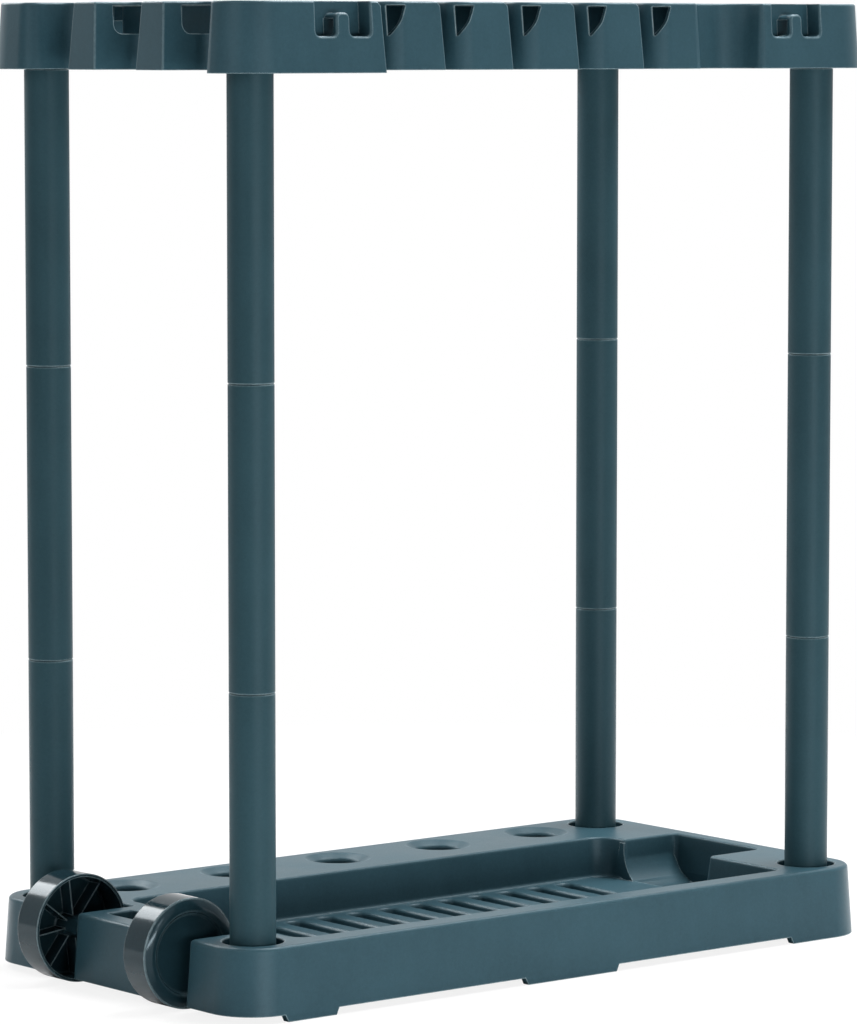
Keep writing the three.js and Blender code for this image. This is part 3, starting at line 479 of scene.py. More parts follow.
bowl_outline = [  # x, y, radius of the corner, steps of its arc
    (TRAY_LEFT, TRAY_FRONT, 16, 10),
    (FRONT_STEP[0], TRAY_FRONT, 8.5, 8),
    (*FRONT_STEP, 5, 6),
    (TRAY_RIGHT, FRONT_STEP[1], 9, 6),
    (TRAY_RIGHT, BACK_STEP[1], 3, 4),
    (*BACK_STEP, 2.6, 5),
    (BACK_STEP[0], TRAY_BACK, 21, 12),
    (TRAY_LEFT, TRAY_BACK, 16, 10),
]
deep_front, deep_back = FRONT_STEP[1] + TRAY_DRAFT, BACK_STEP[1] - TRAY_DRAFT
deep_outline = rectangle(FRONT_STEP[0], TRAY_RIGHT - TRAY_DRAFT, deep_front, deep_back, 5)
groove_left, groove_right = GROOVE_FIRST - GROOVE_HALF, GROOVE_FIRST + GROOVE_HALF
groove_outline = rectangle(groove_left, groove_right, GROOVE_FRONT, GROOVE_BACK, GROOVE_END)


def bowl(lip=2.5, foot=3):
    """The bowl with a soft mouth and a soft foot."""
    return form("bowl", bowl_outline, soft_floor(TRAY_FLOOR, foot, -TRAY_DRAFT) + soft_mouth(BASE_TOP, lip))


def deep_end(foot=3):
    rings = soft_floor(DEEP_FLOOR, foot) + [(TRAY_FLOOR + TRAY_DRAFT, 0)]
    return form("deep_end", deep_outline, rings)


def grooves():
    """The hollows between the ribs, all in one tool."""
    rings = soft_floor(DEEP_FLOOR, GROOVE_FOOT) + soft_mouth(TRAY_FLOOR, GROOVE_LIP, 1)
    one = form("groove", groove_outline, rings)
    return repeated(one, GROOVE_PITCH, GROOVE_COUNT)


def ramp():
    """The solid below the hollow curve, whose left side leans like the platform's."""
    front = RAMP_BACK - RAMP_RADIUS
    low, high = DEEP_FLOOR - WALL, DEEP_FLOOR + RAMP_RADIUS
    section = [
        (RAMP_BACK + CUT, high),
        (RAMP_BACK, high),
        (RAMP_BACK, DEEP_FLOOR, RAMP_RADIUS - TOUCH, 12),
        (front, DEEP_FLOOR),
        (front, low),
        (RAMP_BACK + CUT, low),
    ]
    body = form("ramp", section, [(BACK_STEP[0] - 2 * WALL, 0), (TRAY_RIGHT + WALL, 0)], "YZ")
    spare = 4 * WALL
    side_outline = rectangle(BACK_STEP[0], TRAY_RIGHT + spare, front - spare, RAMP_BACK + spare, 0)
    lean = TRAY_DRAFT / TRAY_DEPTH
    levels = [(z, (BASE_TOP - z) * lean) for z in (low - 1, BASE_TOP)]
    return combined(body, "INTERSECT", form("ramp_side", side_outline, levels))


hollow = joined(bowl(), deep_end(), grooves())
cut(hollow, ramp())
measured(hollow)
cut(tray, hollow)
measured(tray)

# %% [markdown]
# ## Base tray: cups, sockets, wheel slots and feet
#
# Five cups in the back ledge take the ends of handles: a funnel leads into each bore. The posts stand in
# four deep sockets with a wide mouth. Every hollow is made twice, once to cut it and once with a wall
# round it for the underside. The skirt stands clear of the floor except at the feet, whose sides slant.

# %% Cups, sockets and the finger pocket
CUP_Y = 140
CUP_PITCH = 116
CUP_COUNT = 5
CUP_DEPTH = 46
CUP_RIM = 29.5
CUP_BORE = 20
CUP_FUNNEL = 4.6  # height of the funnel above the bore
CUP_ROUND = 4
FIRST_CUP = (-(CUP_COUNT - 1) / 2 * CUP_PITCH, CUP_Y, 0)
SOCKET_MOUTH = 25.2
SOCKET_STEP = BASE_TOP - 20
POCKET = (-324, -299, -37.5, 37.5)  # left, right, front and back of the finger pocket
POCKET_DEPTH = 34
post_places = [(x, y, 0) for x in (-POST_X, POST_X) for y in (-POST_Y, POST_Y)]


def cups(wall=0):
    """All five cups, or with a wall the forms that hang round them below."""
    bottom = BASE_TOP - CUP_DEPTH - wall
    bore, funnel = CUP_BORE + wall, BASE_TOP - CUP_FUNNEL - wall / 2
    lower = [(0, bottom), (bore, bottom, 2, 4), (bore, funnel, CUP_ROUND, 4)]
    first = round_hole("cups", FIRST_CUP, lower, CUP_RIM + wall, BASE_TOP, CUP_ROUND, 6)
    return repeated(first, CUP_PITCH, CUP_COUNT)


def socket(place, wall=0):
    bore = TUBE_RADIUS + FIT + wall
    mouth = SOCKET_MOUTH + wall
    bottom, step = TUBE_SEAT - FIT - wall, SOCKET_STEP - wall
    lower = [(0, bottom), (bore, bottom), (bore, step), (mouth, step, 1.5, 4)]
    return round_hole("socket", place, lower, mouth, BASE_TOP, 1.4, 5)


def pocket(wall=0, foot=1.5, lip=2):
    floor = BASE_TOP - POCKET_DEPTH - wall
    rings = soft_floor(floor, foot, wall - lip) + soft_mouth(BASE_TOP, lip, growth=wall)
    return form("pocket", rectangle(*POCKET, 4), rings)


cut(tray, cups(), pocket(), *(socket(place) for place in post_places))
measured(tray)

# %% The hollow underside and the feet
FOOT_HEIGHT = 6
FOOT_SLOPE = 5  # how much further each end of a foot reaches at its top
FOOT_PAD = 3  # how far a foot reaches in behind the skirt
FOOT_ROOF = FOOT_HEIGHT + 4
LEFT_FOOT = (-299, -256)
MIDDLE_FOOT = (-46, 46)
RIGHT_FOOT = (258, 268)
RIGHT_FOOT_REACH = 80  # how far the corner feet run along the right end
WEB_Y = 20
WEB_HEIGHT = 30
OUTSIDE = BASE_DRAFT + CUT


def foot(span, side):
    """A foot below the skirt of one long side, with slanted ends."""
    left, right = span
    run = FOOT_SLOPE * (FOOT_ROOF + CUT) / FOOT_ROOF
    section = [(left, -CUT), (right, -CUT), (right + run, FOOT_ROOF), (left - run, FOOT_ROOF)]
    return form("foot", section, [(side * (HALF_Y - FOOT_PAD), 0), (side * (HALF_Y + OUTSIDE), 0)], "XZ")


def corner_foot(side):
    """The foot that wraps a right corner: a block, less a core with a round corner."""
    left, right = RIGHT_FOOT[0], HALF_X - FOOT_PAD
    outer, inner = side * (HALF_Y + OUTSIDE), side * (HALF_Y - RIGHT_FOOT_REACH)
    whole = block("corner_foot", (left, HALF_X + OUTSIDE), sorted((outer, inner)), (-CUT, FOOT_ROOF))
    low, high = sorted((side * (HALF_Y - FOOT_PAD), inner - side * 2 * CORNER))
    core_outline = rectangle(left - 2 * CORNER, right, low, high, CORNER - FOOT_PAD, 16)
    core = form("core", core_outline, [(-2 * CUT, 0), (FOOT_ROOF + CUT, 0)])
    return cut(whole, core)


def feet():
    """All the feet in one form, as they are cut free and as they fill the underside."""
    made = []
    for side in (-1, 1):
        made += [foot(span, side) for span in (LEFT_FOOT, MIDDLE_FOOT, RIGHT_FOOT)]
        made.append(corner_foot(side))
    return joined(*made)


def slot(side):
    """The wall round a wheel slot, seen from below."""
    inner, outer = side * (BLOCK_HALF - WALL), side * (SLOT_OUTER + WALL)
    return block("slot", (-HALF_X - OUTSIDE, SLOT_END + WALL), sorted((inner, outer)), (-CUT, ABOVE))


def bowl_wall():
    """The bowl, its deep end and its grooves, each with a wall round it."""
    low = DEEP_FLOOR - WALL
    shape = form("wall", bowl_outline, [(TRAY_FLOOR - WALL, WALL - TRAY_DRAFT), (ABOVE, WALL)])
    deep = form("deep_wall", deep_outline, [(low, WALL), (ABOVE, WALL)])
    floor = block(
        "floor",
        (groove_left - WALL, GROOVE_LAST + GROOVE_HALF + WALL),
        (GROOVE_FRONT - WALL, GROOVE_BACK + WALL),
        (low, TRAY_FLOOR),
    )
    gaps = block(
        "gaps",
        (groove_right + WALL, groove_left + GROOVE_PITCH - WALL),
        (TRAY_FRONT, TRAY_BACK),
        (low - CUT, TRAY_FLOOR - WALL),
    )
    cut(floor, repeated(gaps, GROOVE_PITCH, GROOVE_COUNT - 1))
    return joined(shape, deep, floor)


def web(y):
    """A thin wall below the block's top, beside the finger pocket."""
    thick = (y - WALL / 2, y + WALL / 2)
    return block("web", (-HALF_X, POCKET[0]), thick, (BASE_TOP - WEB_HEIGHT, BASE_TOP))


underside = form("underside", plan, [(-CUT, BASE_DRAFT - WALL), (BASE_TOP - WALL, -WALL)])
cut(
    underside,
    slot(-1),
    slot(1),
    bowl_wall(),
    pocket(WALL),
    cups(WALL),
    web(-WEB_Y),
    web(WEB_Y),
    *(socket(place, WALL) for place in post_places),
    feet(),
)
clearance = cut(slab("clearance", 2 * OUTSIDE, -CUT, FOOT_HEIGHT), feet())
cut(tray, underside, clearance)
measured(tray)

# %% [markdown]
# ## Axle and wheels
#
# A steel rod runs through the block. Each wheel is a closed disc with a broad dish in its face, a wide
# tread, and behind it a hub and eight thin ribs, which show through the open side. A wheel is turned, and
# its ribs are one blade, spun round the axle as copies.

# %% The axle and the two wheels
WHEEL_LOW, WHEEL_HIGH = extent("wheel_front")
WHEEL_RADIUS = (WHEEL_HIGH.z - WHEEL_LOW.z) / 2
WHEEL_FACE = -WHEEL_LOW.y  # from the middle to a wheel's closed face
WHEEL_WIDTH = 31
DISC = 6  # thickness of the closed disc
DISH_DEPTH, DISH_RADIUS, DISH_EDGE = 3.2, 32.5, 35
SHOULDER_WIDTH = 4.2  # the broad round shoulder between the face and the tread
TREAD_STEP, TREAD_SET_BACK = 1.2, 2.2  # the small step where the tread begins
HUB_RADIUS = 9
HUB_LENGTH = 6.2  # how far the hub stands out of the open side
BORE_END = 6.5  # from the closed face to the end of the bore
AXLE_RADIUS = 4
BORE_RADIUS = AXLE_RADIUS + FIT
AXLE_HALF = extent("axle_rod")[1].y
AXLE = (-333, 0, (WHEEL_LOW.z + WHEEL_HIGH.z) / 2)
EDGE = 0.8  # radius of small edges
RIB_COUNT = 8
RIB_HALF = 0.5
RIB_FROM, RIB_TO = 4, WHEEL_WIDTH - 11  # from the closed face
RIB_TURN = -7  # degrees


def ribs(side):
    """Eight blades round the axle: one block, spun as copies."""
    blade = block(
        "rib",
        (AXLE[0] + HUB_RADIUS - 2, AXLE[0] + WHEEL_RADIUS - WALL / 2),
        sorted((side * (WHEEL_FACE - RIB_FROM), side * (WHEEL_FACE - RIB_TO))),
        (AXLE[2] - RIB_HALF, AXLE[2] + RIB_HALF),
    )
    middle = point(*AXLE)
    edit_all(blade)
    turn = -side * math.radians(RIB_TURN)
    bpy.ops.transform.rotate(value=turn, orient_axis="Y", center_override=middle)
    rest = math.tau * (RIB_COUNT - 1) / RIB_COUNT
    bpy.ops.mesh.spin(steps=RIB_COUNT - 1, dupli=True, angle=rest, center=middle, axis=(0, 1, 0))
    face_outwards()
    return blade


def wheel(name, side):
    """A wheel on one side, from its closed face inwards."""
    rim, hub_end = WHEEL_RADIUS - WALL, WHEEL_WIDTH + HUB_LENGTH
    section = [
        (0, DISH_DEPTH),
        (DISH_RADIUS, DISH_DEPTH, 2.5, 6),
        (DISH_EDGE, 0, 2, 6),
        (WHEEL_RADIUS - SHOULDER_WIDTH, 0, 11, 10),
        (WHEEL_RADIUS - TREAD_STEP, TREAD_SET_BACK, 0.4, 3),
        (WHEEL_RADIUS, TREAD_SET_BACK, 0.7, 4),
        (WHEEL_RADIUS, WHEEL_WIDTH, EDGE, 4),
        (rim, WHEEL_WIDTH, EDGE, 4),
        (rim - EDGE, DISC, 1.5, 4),
        (HUB_RADIUS + EDGE, DISC, 1.5, 4),
        (HUB_RADIUS, hub_end, 0.6, 3),
        (BORE_RADIUS, hub_end, 0.6, 3),
        (BORE_RADIUS, BORE_END),
        (0, BORE_END),
    ]
    placed = [(r, side * (WHEEL_FACE - v), *rounding) for r, v, *rounding in section]
    return joined(turned(name, placed, AXLE, "Y", 96), ribs(side))


front_wheel = measured(wheel("front_roller", -1))
back_wheel = measured(wheel("back_roller", 1))
axle = measured(rod("axle_bar", AXLE_RADIUS, -AXLE_HALF, AXLE_HALF, AXLE, EDGE, "Y", 48))
bore_half = BLOCK_HALF + CUT
cut(tray, rod("axle_bore", BORE_RADIUS, -bore_half, bore_half, AXLE, 0, "Y", 48))
measured(tray)

# %% [markdown]
# ## Posts
#
# Each post is three equal tubes. A tube's upper end has a thinner spigot that plugs into the next one,
# and the rounded ends leave a fine line at each joint. One tube is turned from its closed section and
# copied to all twelve places.

# %% Twelve tubes
TUBE_WALL = 2
TUBE_BORE = TUBE_RADIUS - TUBE_WALL
TUBE_LENGTH = TUBE_PITCH - FIT
SPIGOT_RADIUS = TUBE_BORE - FIT
SPIGOT_BORE = SPIGOT_RADIUS - TUBE_WALL
SPIGOT_TOP = extent("post_back_right_upper")[1].z - (len(TUBE_LEVELS) - 1) * TUBE_PITCH
SHOULDER = TUBE_SEAT + TUBE_LENGTH

tube_section = [
    (TUBE_BORE, TUBE_SEAT, 0.5, 2),
    (TUBE_RADIUS, TUBE_SEAT, 0.9, 4),
    (TUBE_RADIUS, SHOULDER, 0.9, 4),
    (SPIGOT_RADIUS, SHOULDER),
    (SPIGOT_RADIUS, SPIGOT_TOP, 1, 3),
    (SPIGOT_BORE, SPIGOT_TOP, 0.5, 2),
    (SPIGOT_BORE, SHOULDER - TUBE_WALL),
    (TUBE_BORE, SHOULDER - 2 * TUBE_WALL),
]
first_tube = turned("tube", tube_section, (-POST_X, -POST_Y, 0), steps=72, closed=True)
tubes = {}
for end, y in (("front", -POST_Y), ("back", POST_Y)):
    for side, x in (("left", -POST_X), ("right", POST_X)):
        for i, level in enumerate(TUBE_LEVELS):
            step = (x + POST_X, y + POST_Y, i * TUBE_PITCH)
            place = f"{end}_{side}_{level}"
            tubes[f"post_{place}"] = copied(first_tube, f"tube_{place}", step)
bpy.data.objects.remove(first_tube)
measured(tubes["post_back_right_upper"])
print("tubes:", len(tubes))

# %% [markdown]
# ## Top rack: the outside
#
# The rack is the tray's counterpart: a skirt round a flat top, cut by five notches in the front and three
# in the left end. The right side of each front notch is flared, so that a handle slides in. The teeth
# keep crisp upright edges from top to bottom, so those corners are traced sharp and rounded afterwards,
# when a bevel can follow them down the leaning wall.

# %% The rack's outline
RACK_DRAFT = 3.5
RACK_EDGE = 1.9
RACK_CORNER = 36
CRISP = 1.3  # rounding of the teeth's upright edges
CRISP_REACH = 8  # how near to a traced corner such an edge lies, all the way down
NOTCH_WIDTH, NOTCH_DEPTH = 18.5, 34
NOTCH_FIRST, NOTCH_PITCH, NOTCH_COUNT = -213.2, 71.7, 5
NOTCH_ROUND = 0.48  # of a notch's width
FRONT_BLOCK_RIGHT = -203
FLARE = 18
PANEL_LEFT, PANEL_RIGHT, PANEL_DEPTH = 141, 214, 34  # the recess right of the last notch
PANEL_SLANT = 4
SIDE_DEPTH = 44
SIDE_FIRST, SIDE_PITCH, SIDE_COUNT = 113.6, 95, 3
SIDE_WIDTH = 64.4
SIDE_ROUND = 12
FRONT_BLOCK_BACK = -139.5
FRONT_BLOCK_SLANT = 31
FRONT = -HALF_Y  # the line of the rack's front
LEFT = -HALF_X  # and of its left end
NOTCH_BACK = FRONT + NOTCH_DEPTH
PANEL_BACK = FRONT + PANEL_DEPTH
SIDE_END = LEFT + SIDE_DEPTH

crisp_places = []
rack_outline = [(LEFT, FRONT, RACK_CORNER, 14)]
for k in range(NOTCH_COUNT):
    flank = NOTCH_FIRST + k * NOTCH_PITCH + NOTCH_WIDTH
    near = FRONT_BLOCK_RIGHT if k == 0 else flank - NOTCH_WIDTH
    rounding = (flank - near) * NOTCH_ROUND
    crisp_places.append((near, FRONT))
    rack_outline += [
        (near, FRONT),
        (near, NOTCH_BACK, rounding, 8),
        (flank, NOTCH_BACK, rounding, 8),
        (flank, FRONT, FLARE, 12),
    ]
rack_outline += [
    (PANEL_LEFT, FRONT, 6, 5),
    (PANEL_LEFT + PANEL_SLANT, PANEL_BACK, 12, 8),
    (PANEL_RIGHT - PANEL_SLANT, PANEL_BACK, 26, 12),
    (PANEL_RIGHT, FRONT, 4, 4),
    (HALF_X, FRONT, RACK_CORNER, 14),
    (HALF_X, HALF_Y, RACK_CORNER, 14),
    (LEFT, HALF_Y, RACK_CORNER, 14),
]
for k in range(SIDE_COUNT):
    back = SIDE_FIRST - k * SIDE_PITCH
    last = k == SIDE_COUNT - 1
    near = FRONT_BLOCK_BACK if last else back - SIDE_WIDTH
    if k:
        crisp_places.append((LEFT, back))
    if not last:
        crisp_places.append((LEFT, near))
    rack_outline += [
        (LEFT, back) if k else (LEFT, back, 14, 8),
        (SIDE_END, back, SIDE_ROUND, 8),
        (SIDE_END, near + (FRONT_BLOCK_SLANT if last else 0), SIDE_ROUND, 8),
        (LEFT, near, 7, 6) if last else (LEFT, near),
    ]

LIP = 2.2  # how far the front left block hangs below the rest
lip_growth = RACK_DRAFT * (1 + LIP / (RACK_TOP - RACK_BOTTOM))
rings = [(RACK_BOTTOM - LIP, lip_growth)] + soft_top(RACK_TOP, RACK_EDGE)
rack = crisped(form("rack_moulding", rack_outline, rings), crisp_places, CRISP_REACH, CRISP)
cut(rack, slab("above", CUT, RACK_TOP, RACK_TOP + CUT))
print("crisp edges:", len(crisp_places))

# %% [markdown]
# ## Top rack: what is cut from it
#
# The underside is hollow like the tray's, with the bosses for the posts, a stiffening ring, the collars
# of the handle holes and the boxes behind the hooks left standing in it. Through the top go three large
# openings, a grip slot at the left and five handle holes. The block at the front left hangs a little
# lower than the rest, so the whole skirt was drawn that much deeper, and now the spare band is cut away
# everywhere but at that block.

# %% The hollow underside
RACK_ROOF = RACK_TOP - WALL
RACK_ABOVE = RACK_TOP + CUT
RACK_BELOW = RACK_BOTTOM - 2 * CUT
STANDING_TOP = RACK_ROOF + RACK_EDGE / 2  # what stands in the hollow ends inside the top
BOSS_RADIUS = 22
RING = (-272, 272, -140, 92)
RING_DEPTH = 32
HOLE_RADIUS = 24
COLLAR_WALL, COLLAR_DEPTH = 2.5, 12
SPIGOT_ROOM = 24.6  # depth of a post's bore
HOOK_SPANS = ((-270, -214.4), (225.5, 281.1))
HOOK_DEPTH, HOOK_DROP = 16, 28
OUT_LEFT, OUT_FRONT = LEFT - 2 * CUT, FRONT - 2 * CUT  # well outside the rack

band = (RACK_BELOW, RACK_BOTTOM + CUT)
behind_front, behind_side = NOTCH_BACK - RACK_DRAFT, FRONT_BLOCK_BACK + FRONT_BLOCK_SLANT
lip_front = block("lip_front", (OUT_LEFT, FRONT_BLOCK_RIGHT + CUT), (OUT_FRONT, behind_front), band)
lip_side = block("lip_side", (OUT_LEFT, SIDE_END), (OUT_FRONT, behind_side), band)
spare = slab("spare", 3 * CUT, RACK_BELOW - CUT, RACK_BOTTOM)
cut(rack, cut(spare, lip_front, lip_side))
measured(rack)


def hook_box(span):
    """The box behind a hook, with its wall."""
    left, right = span
    return block(
        "hook_box",
        (left - WALL, right + WALL),
        (OUT_FRONT, FRONT + HOOK_DEPTH + WALL),
        (RACK_TOP - HOOK_DROP - WALL, RACK_ABOVE),
    )


ring_outline = rectangle(*RING, 16)
ring_low = RACK_TOP - RING_DEPTH
ring = form("ring", ring_outline, [(ring_low, 0), (STANDING_TOP, 0)])
ring_inside = form("ring_inside", ring_outline, [(ring_low - CUT, -WALL), (RACK_ABOVE, -WALL)])
cut(ring, ring_inside)
collar = rod("collars", HOLE_RADIUS + COLLAR_WALL, RACK_ROOF - COLLAR_DEPTH, STANDING_TOP, FIRST_CUP)
inner = RACK_DRAFT - WALL
rings = [(RACK_BELOW, inner), (RACK_BOTTOM, inner), (RACK_ROOF, -WALL)]
rack_hollow = form("rack_hollow", rack_outline, rings)
cut(
    rack_hollow,
    ring,
    repeated(collar, CUP_PITCH, CUP_COUNT),
    *(rod("boss", BOSS_RADIUS, RACK_BOTTOM, RACK_TOP - RACK_EDGE, place) for place in post_places),
    *(hook_box(span) for span in HOOK_SPANS),
)
cut(rack, rack_hollow)
bore_limits = (RACK_BOTTOM - CUT, RACK_BOTTOM + SPIGOT_ROOM)
for place in post_places:
    cut(rack, rod("bore", SPIGOT_RADIUS + FIT, *bore_limits, place))
measured(rack)

# %% [markdown]
# The mouths of the openings, the holes and the hooks are soft, so each cutting form flares out in a
# quarter circle where it leaves the surface. A hook is two slots either side of a tongue. Its slots cut a
# wall that leans outwards, so their form is tipped by the same angle and its flare meets the wall all
# the way round.

# %% Openings, grip slot, handle holes and hooks
OPENING_COUNT = 3
OPENING_GAP = 18
OPENING_MARGIN = 10
GRIP = (-294, -276, -100, 92)
SOFT_MOUTH = 2.2
TONGUE_WIDTH = 13.8
TONGUE_TOP = RACK_TOP - 9
TONGUE_WALL = 3.6
FLANGE = 5  # the tongue's top is folded back and this thick
HOOK_LIP = 2.4
LEAN = math.atan(RACK_DRAFT / (RACK_TOP - RACK_BOTTOM))

left, right, front, back = RING
openings_width = right - left - 2 * OPENING_MARGIN
opening_pitch = (openings_width + OPENING_GAP) / OPENING_COUNT
opening_left = left + OPENING_MARGIN
opening_right = opening_left + opening_pitch - OPENING_GAP
opening_outline = rectangle(
    opening_left, opening_right, front + OPENING_MARGIN, back - OPENING_MARGIN, 16
)
through = [(RACK_BELOW, 0)] + soft_mouth(RACK_TOP, SOFT_MOUTH)
openings = repeated(form("openings", opening_outline, through), opening_pitch, OPENING_COUNT)
grip = form("grip", rectangle(*GRIP, 8), through)
lower = [(0, RACK_BELOW), (HOLE_RADIUS, RACK_BELOW)]
first_hole = round_hole("holes", FIRST_CUP, lower, HOLE_RADIUS, RACK_TOP, SOFT_MOUTH, 5)
cut(rack, openings, grip, repeated(first_hole, CUP_PITCH, CUP_COUNT))


def hook(span):
    """The two slots of a hook and the room above its tongue."""
    left, right = span
    near = (left + right - TONGUE_WIDTH) / 2
    far = near + TONGUE_WIDTH
    foot = RACK_TOP - HOOK_DROP
    section = [
        (left, foot, 4, 5),
        (near, foot, 4, 5),
        (near, TONGUE_TOP, 5, 6),
        (far, TONGUE_TOP, 5, 6),
        (far, foot, 4, 5),
        (right, foot, 4, 5),
        (right, RACK_ABOVE),
        (left, RACK_ABOVE),
    ]
    flare = [(2 * FRONT - y, growth) for y, growth in reversed(soft_mouth(FRONT, HOOK_LIP, 2 * CUT))]
    tool = form("hook", section, flare + [(FRONT + HOOK_DEPTH, 0)], "XZ")
    edit_all(tool)
    bpy.ops.transform.rotate(value=LEAN, orient_axis="X", center_override=point(0, FRONT, RACK_TOP))
    return tool


def tongue_room(span):
    """The room behind the tongue, below its folded top."""
    middle = sum(span) / 2
    half = TONGUE_WIDTH / 2 + 1
    return block(
        "tongue_room",
        (middle - half, middle + half),
        (FRONT + TONGUE_WALL, FRONT + HOOK_DEPTH),
        (RACK_TOP - HOOK_DROP, TONGUE_TOP - FLANGE),
    )


cut(rack, *(make(span) for span in HOOK_SPANS for make in (hook, tongue_room)))
print(f"hooks lean {math.degrees(LEAN):.1f} degrees")
measured(rack)

# %% [markdown]
# Windows below the top let dirt fall out of the notches. Those at the front are triangles with one bowed
# side, cut through the flared walls. Those at the left have round lower corners.

# %% Windows in the notches
WINDOW_FROM = NOTCH_FIRST + NOTCH_WIDTH + 3
WINDOW_WIDTH = 14
WINDOW_DROP = 26
WINDOW_CORNER = 0.8
BOW_PLACE, BOW_RADIUS = 0.67, 20  # where along its width the slanted side bows, and how roundly
SIDE_WINDOW_FROM = LEFT + 18
SIDE_WINDOW_TO = SIDE_END + WALL + RACK_DRAFT
SIDE_WINDOW_REACH = 34
SIDE_WINDOW_ROUND = 8

low = RACK_TOP - WINDOW_DROP - WALL
window_section = [
    (WINDOW_FROM, RACK_ROOF, WINDOW_CORNER, 3),
    (WINDOW_FROM, low, WINDOW_CORNER, 3),
    (WINDOW_FROM + WINDOW_WIDTH * BOW_PLACE, (low + RACK_ROOF) / 2, BOW_RADIUS, 6),
    (WINDOW_FROM + WINDOW_WIDTH, RACK_ROOF, WINDOW_CORNER, 3),
]
front_window = form("window", window_section, [(OUT_FRONT, 0), (FRONT + FLARE + CUT, 0)], "XZ")
cut(rack, repeated(front_window, NOTCH_PITCH, NOTCH_COUNT))
side_section = [
    (SIDE_WINDOW_FROM, RACK_TOP - WINDOW_DROP, SIDE_WINDOW_ROUND, 8),
    (SIDE_WINDOW_TO, RACK_TOP - WINDOW_DROP),
    (SIDE_WINDOW_TO, RACK_ROOF),
    (SIDE_WINDOW_FROM, RACK_ROOF, WINDOW_CORNER, 3),
]
for k in range(1, SIDE_COUNT):
    back = SIDE_FIRST - k * SIDE_PITCH
    rings = [(back - SIDE_WINDOW_REACH, 0), (back + WALL + RACK_DRAFT, 0)]
    cut(rack, form("side_window", side_section, rings, "XZ"))
measured(rack)

# %% [markdown]
# Each tooth's upper right corner is well rounded, so that a handle finds its way into the notch. The
# rounding is cut from above by a form whose inner corner is an arc.

# %% Round corners of the teeth
TOOTH_ROUND = 8
ARC_REACH = TOOTH_ROUND + 0.2  # the arc and a little more
TOOTH_SPARE = 0.5  # how far outside the tooth's side the arc starts, since the side leans

for k in range(NOTCH_COUNT):
    side = (NOTCH_FIRST + k * NOTCH_PITCH if k else FRONT_BLOCK_RIGHT) + TOOTH_SPARE
    arc = [
        (side, RACK_TOP, TOOTH_ROUND, 8),
        (side, RACK_TOP - ARC_REACH),
        (side + CUT / 2, RACK_TOP - ARC_REACH),
        (side + CUT / 2, RACK_ABOVE),
        (side - ARC_REACH, RACK_ABOVE),
        (side - ARC_REACH, RACK_TOP),
    ]
    rings = [(OUT_FRONT, 0), (FRONT + NOTCH_DEPTH * 0.8, 0)]
    cut(rack, form("corner_round", arc, rings, "XZ"))
measured(rack)

# %% [markdown]
# ## Shading the faces
#
# A flat face next to a rounded edge shades badly if it takes part in the edge's smoothness. Smoothing by
# angle keeps real corners, and weighted normals let the large faces keep theirs, so that only the
# roundings bend the light.

# %% Smooth roundings, flat faces
SMOOTH_ANGLE = 35  # degrees


def shaded(obj):
    activate(obj)
    bpy.ops.object.shade_smooth_by_angle(angle=math.radians(SMOOTH_ANGLE))
    modifier = obj.modifiers.new("flat faces", "WEIGHTED_NORMAL")
    modifier.keep_sharp = True
    bpy.ops.object.modifier_apply(modifier=modifier.name)
    return obj


pieces = [tray, rack, axle, front_wheel, back_wheel, *tubes.values()]
for piece in pieces:
    shaded(piece)
print("shaded pieces:", len(pieces))

# %% [markdown]
# ## Finishes
#
# A finish is a small program of nodes. Written as sums of values it can be read: one class wraps a
# node's output so that it takes part in arithmetic, and another adds the nodes of one material. The
# coordinates are the object's own, in metres, so a grain of a given size is that size on every piece.

# %% Shader maths
class Value:
    """An output of a node, as a number in sums. The node's other outputs are taken by their names."""

    def __init__(self, finish, socket):
        self.finish = finish
        self.socket = socket

    def __getitem__(self, output):
        return Value(self.finish, self.socket.node.outputs[output])

    def math(self, operation, first, second):
        return self.finish.node("ShaderNodeMath", {"operation": operation}, {0: first, 1: second})

    def __add__(self, other):
        return self.math("ADD", self, other)

    __radd__ = __add__

    def __mul__(self, other):
        return self.math("MULTIPLY", self, other)

    __rmul__ = __mul__

    def __sub__(self, other):
        return self.math("SUBTRACT", self, other)

    def __rsub__(self, other):
        return self.math("SUBTRACT", other, self)

    def clamped(self):
        return self.math("MAXIMUM", self.math("MINIMUM", self, 1.0), 0.0)


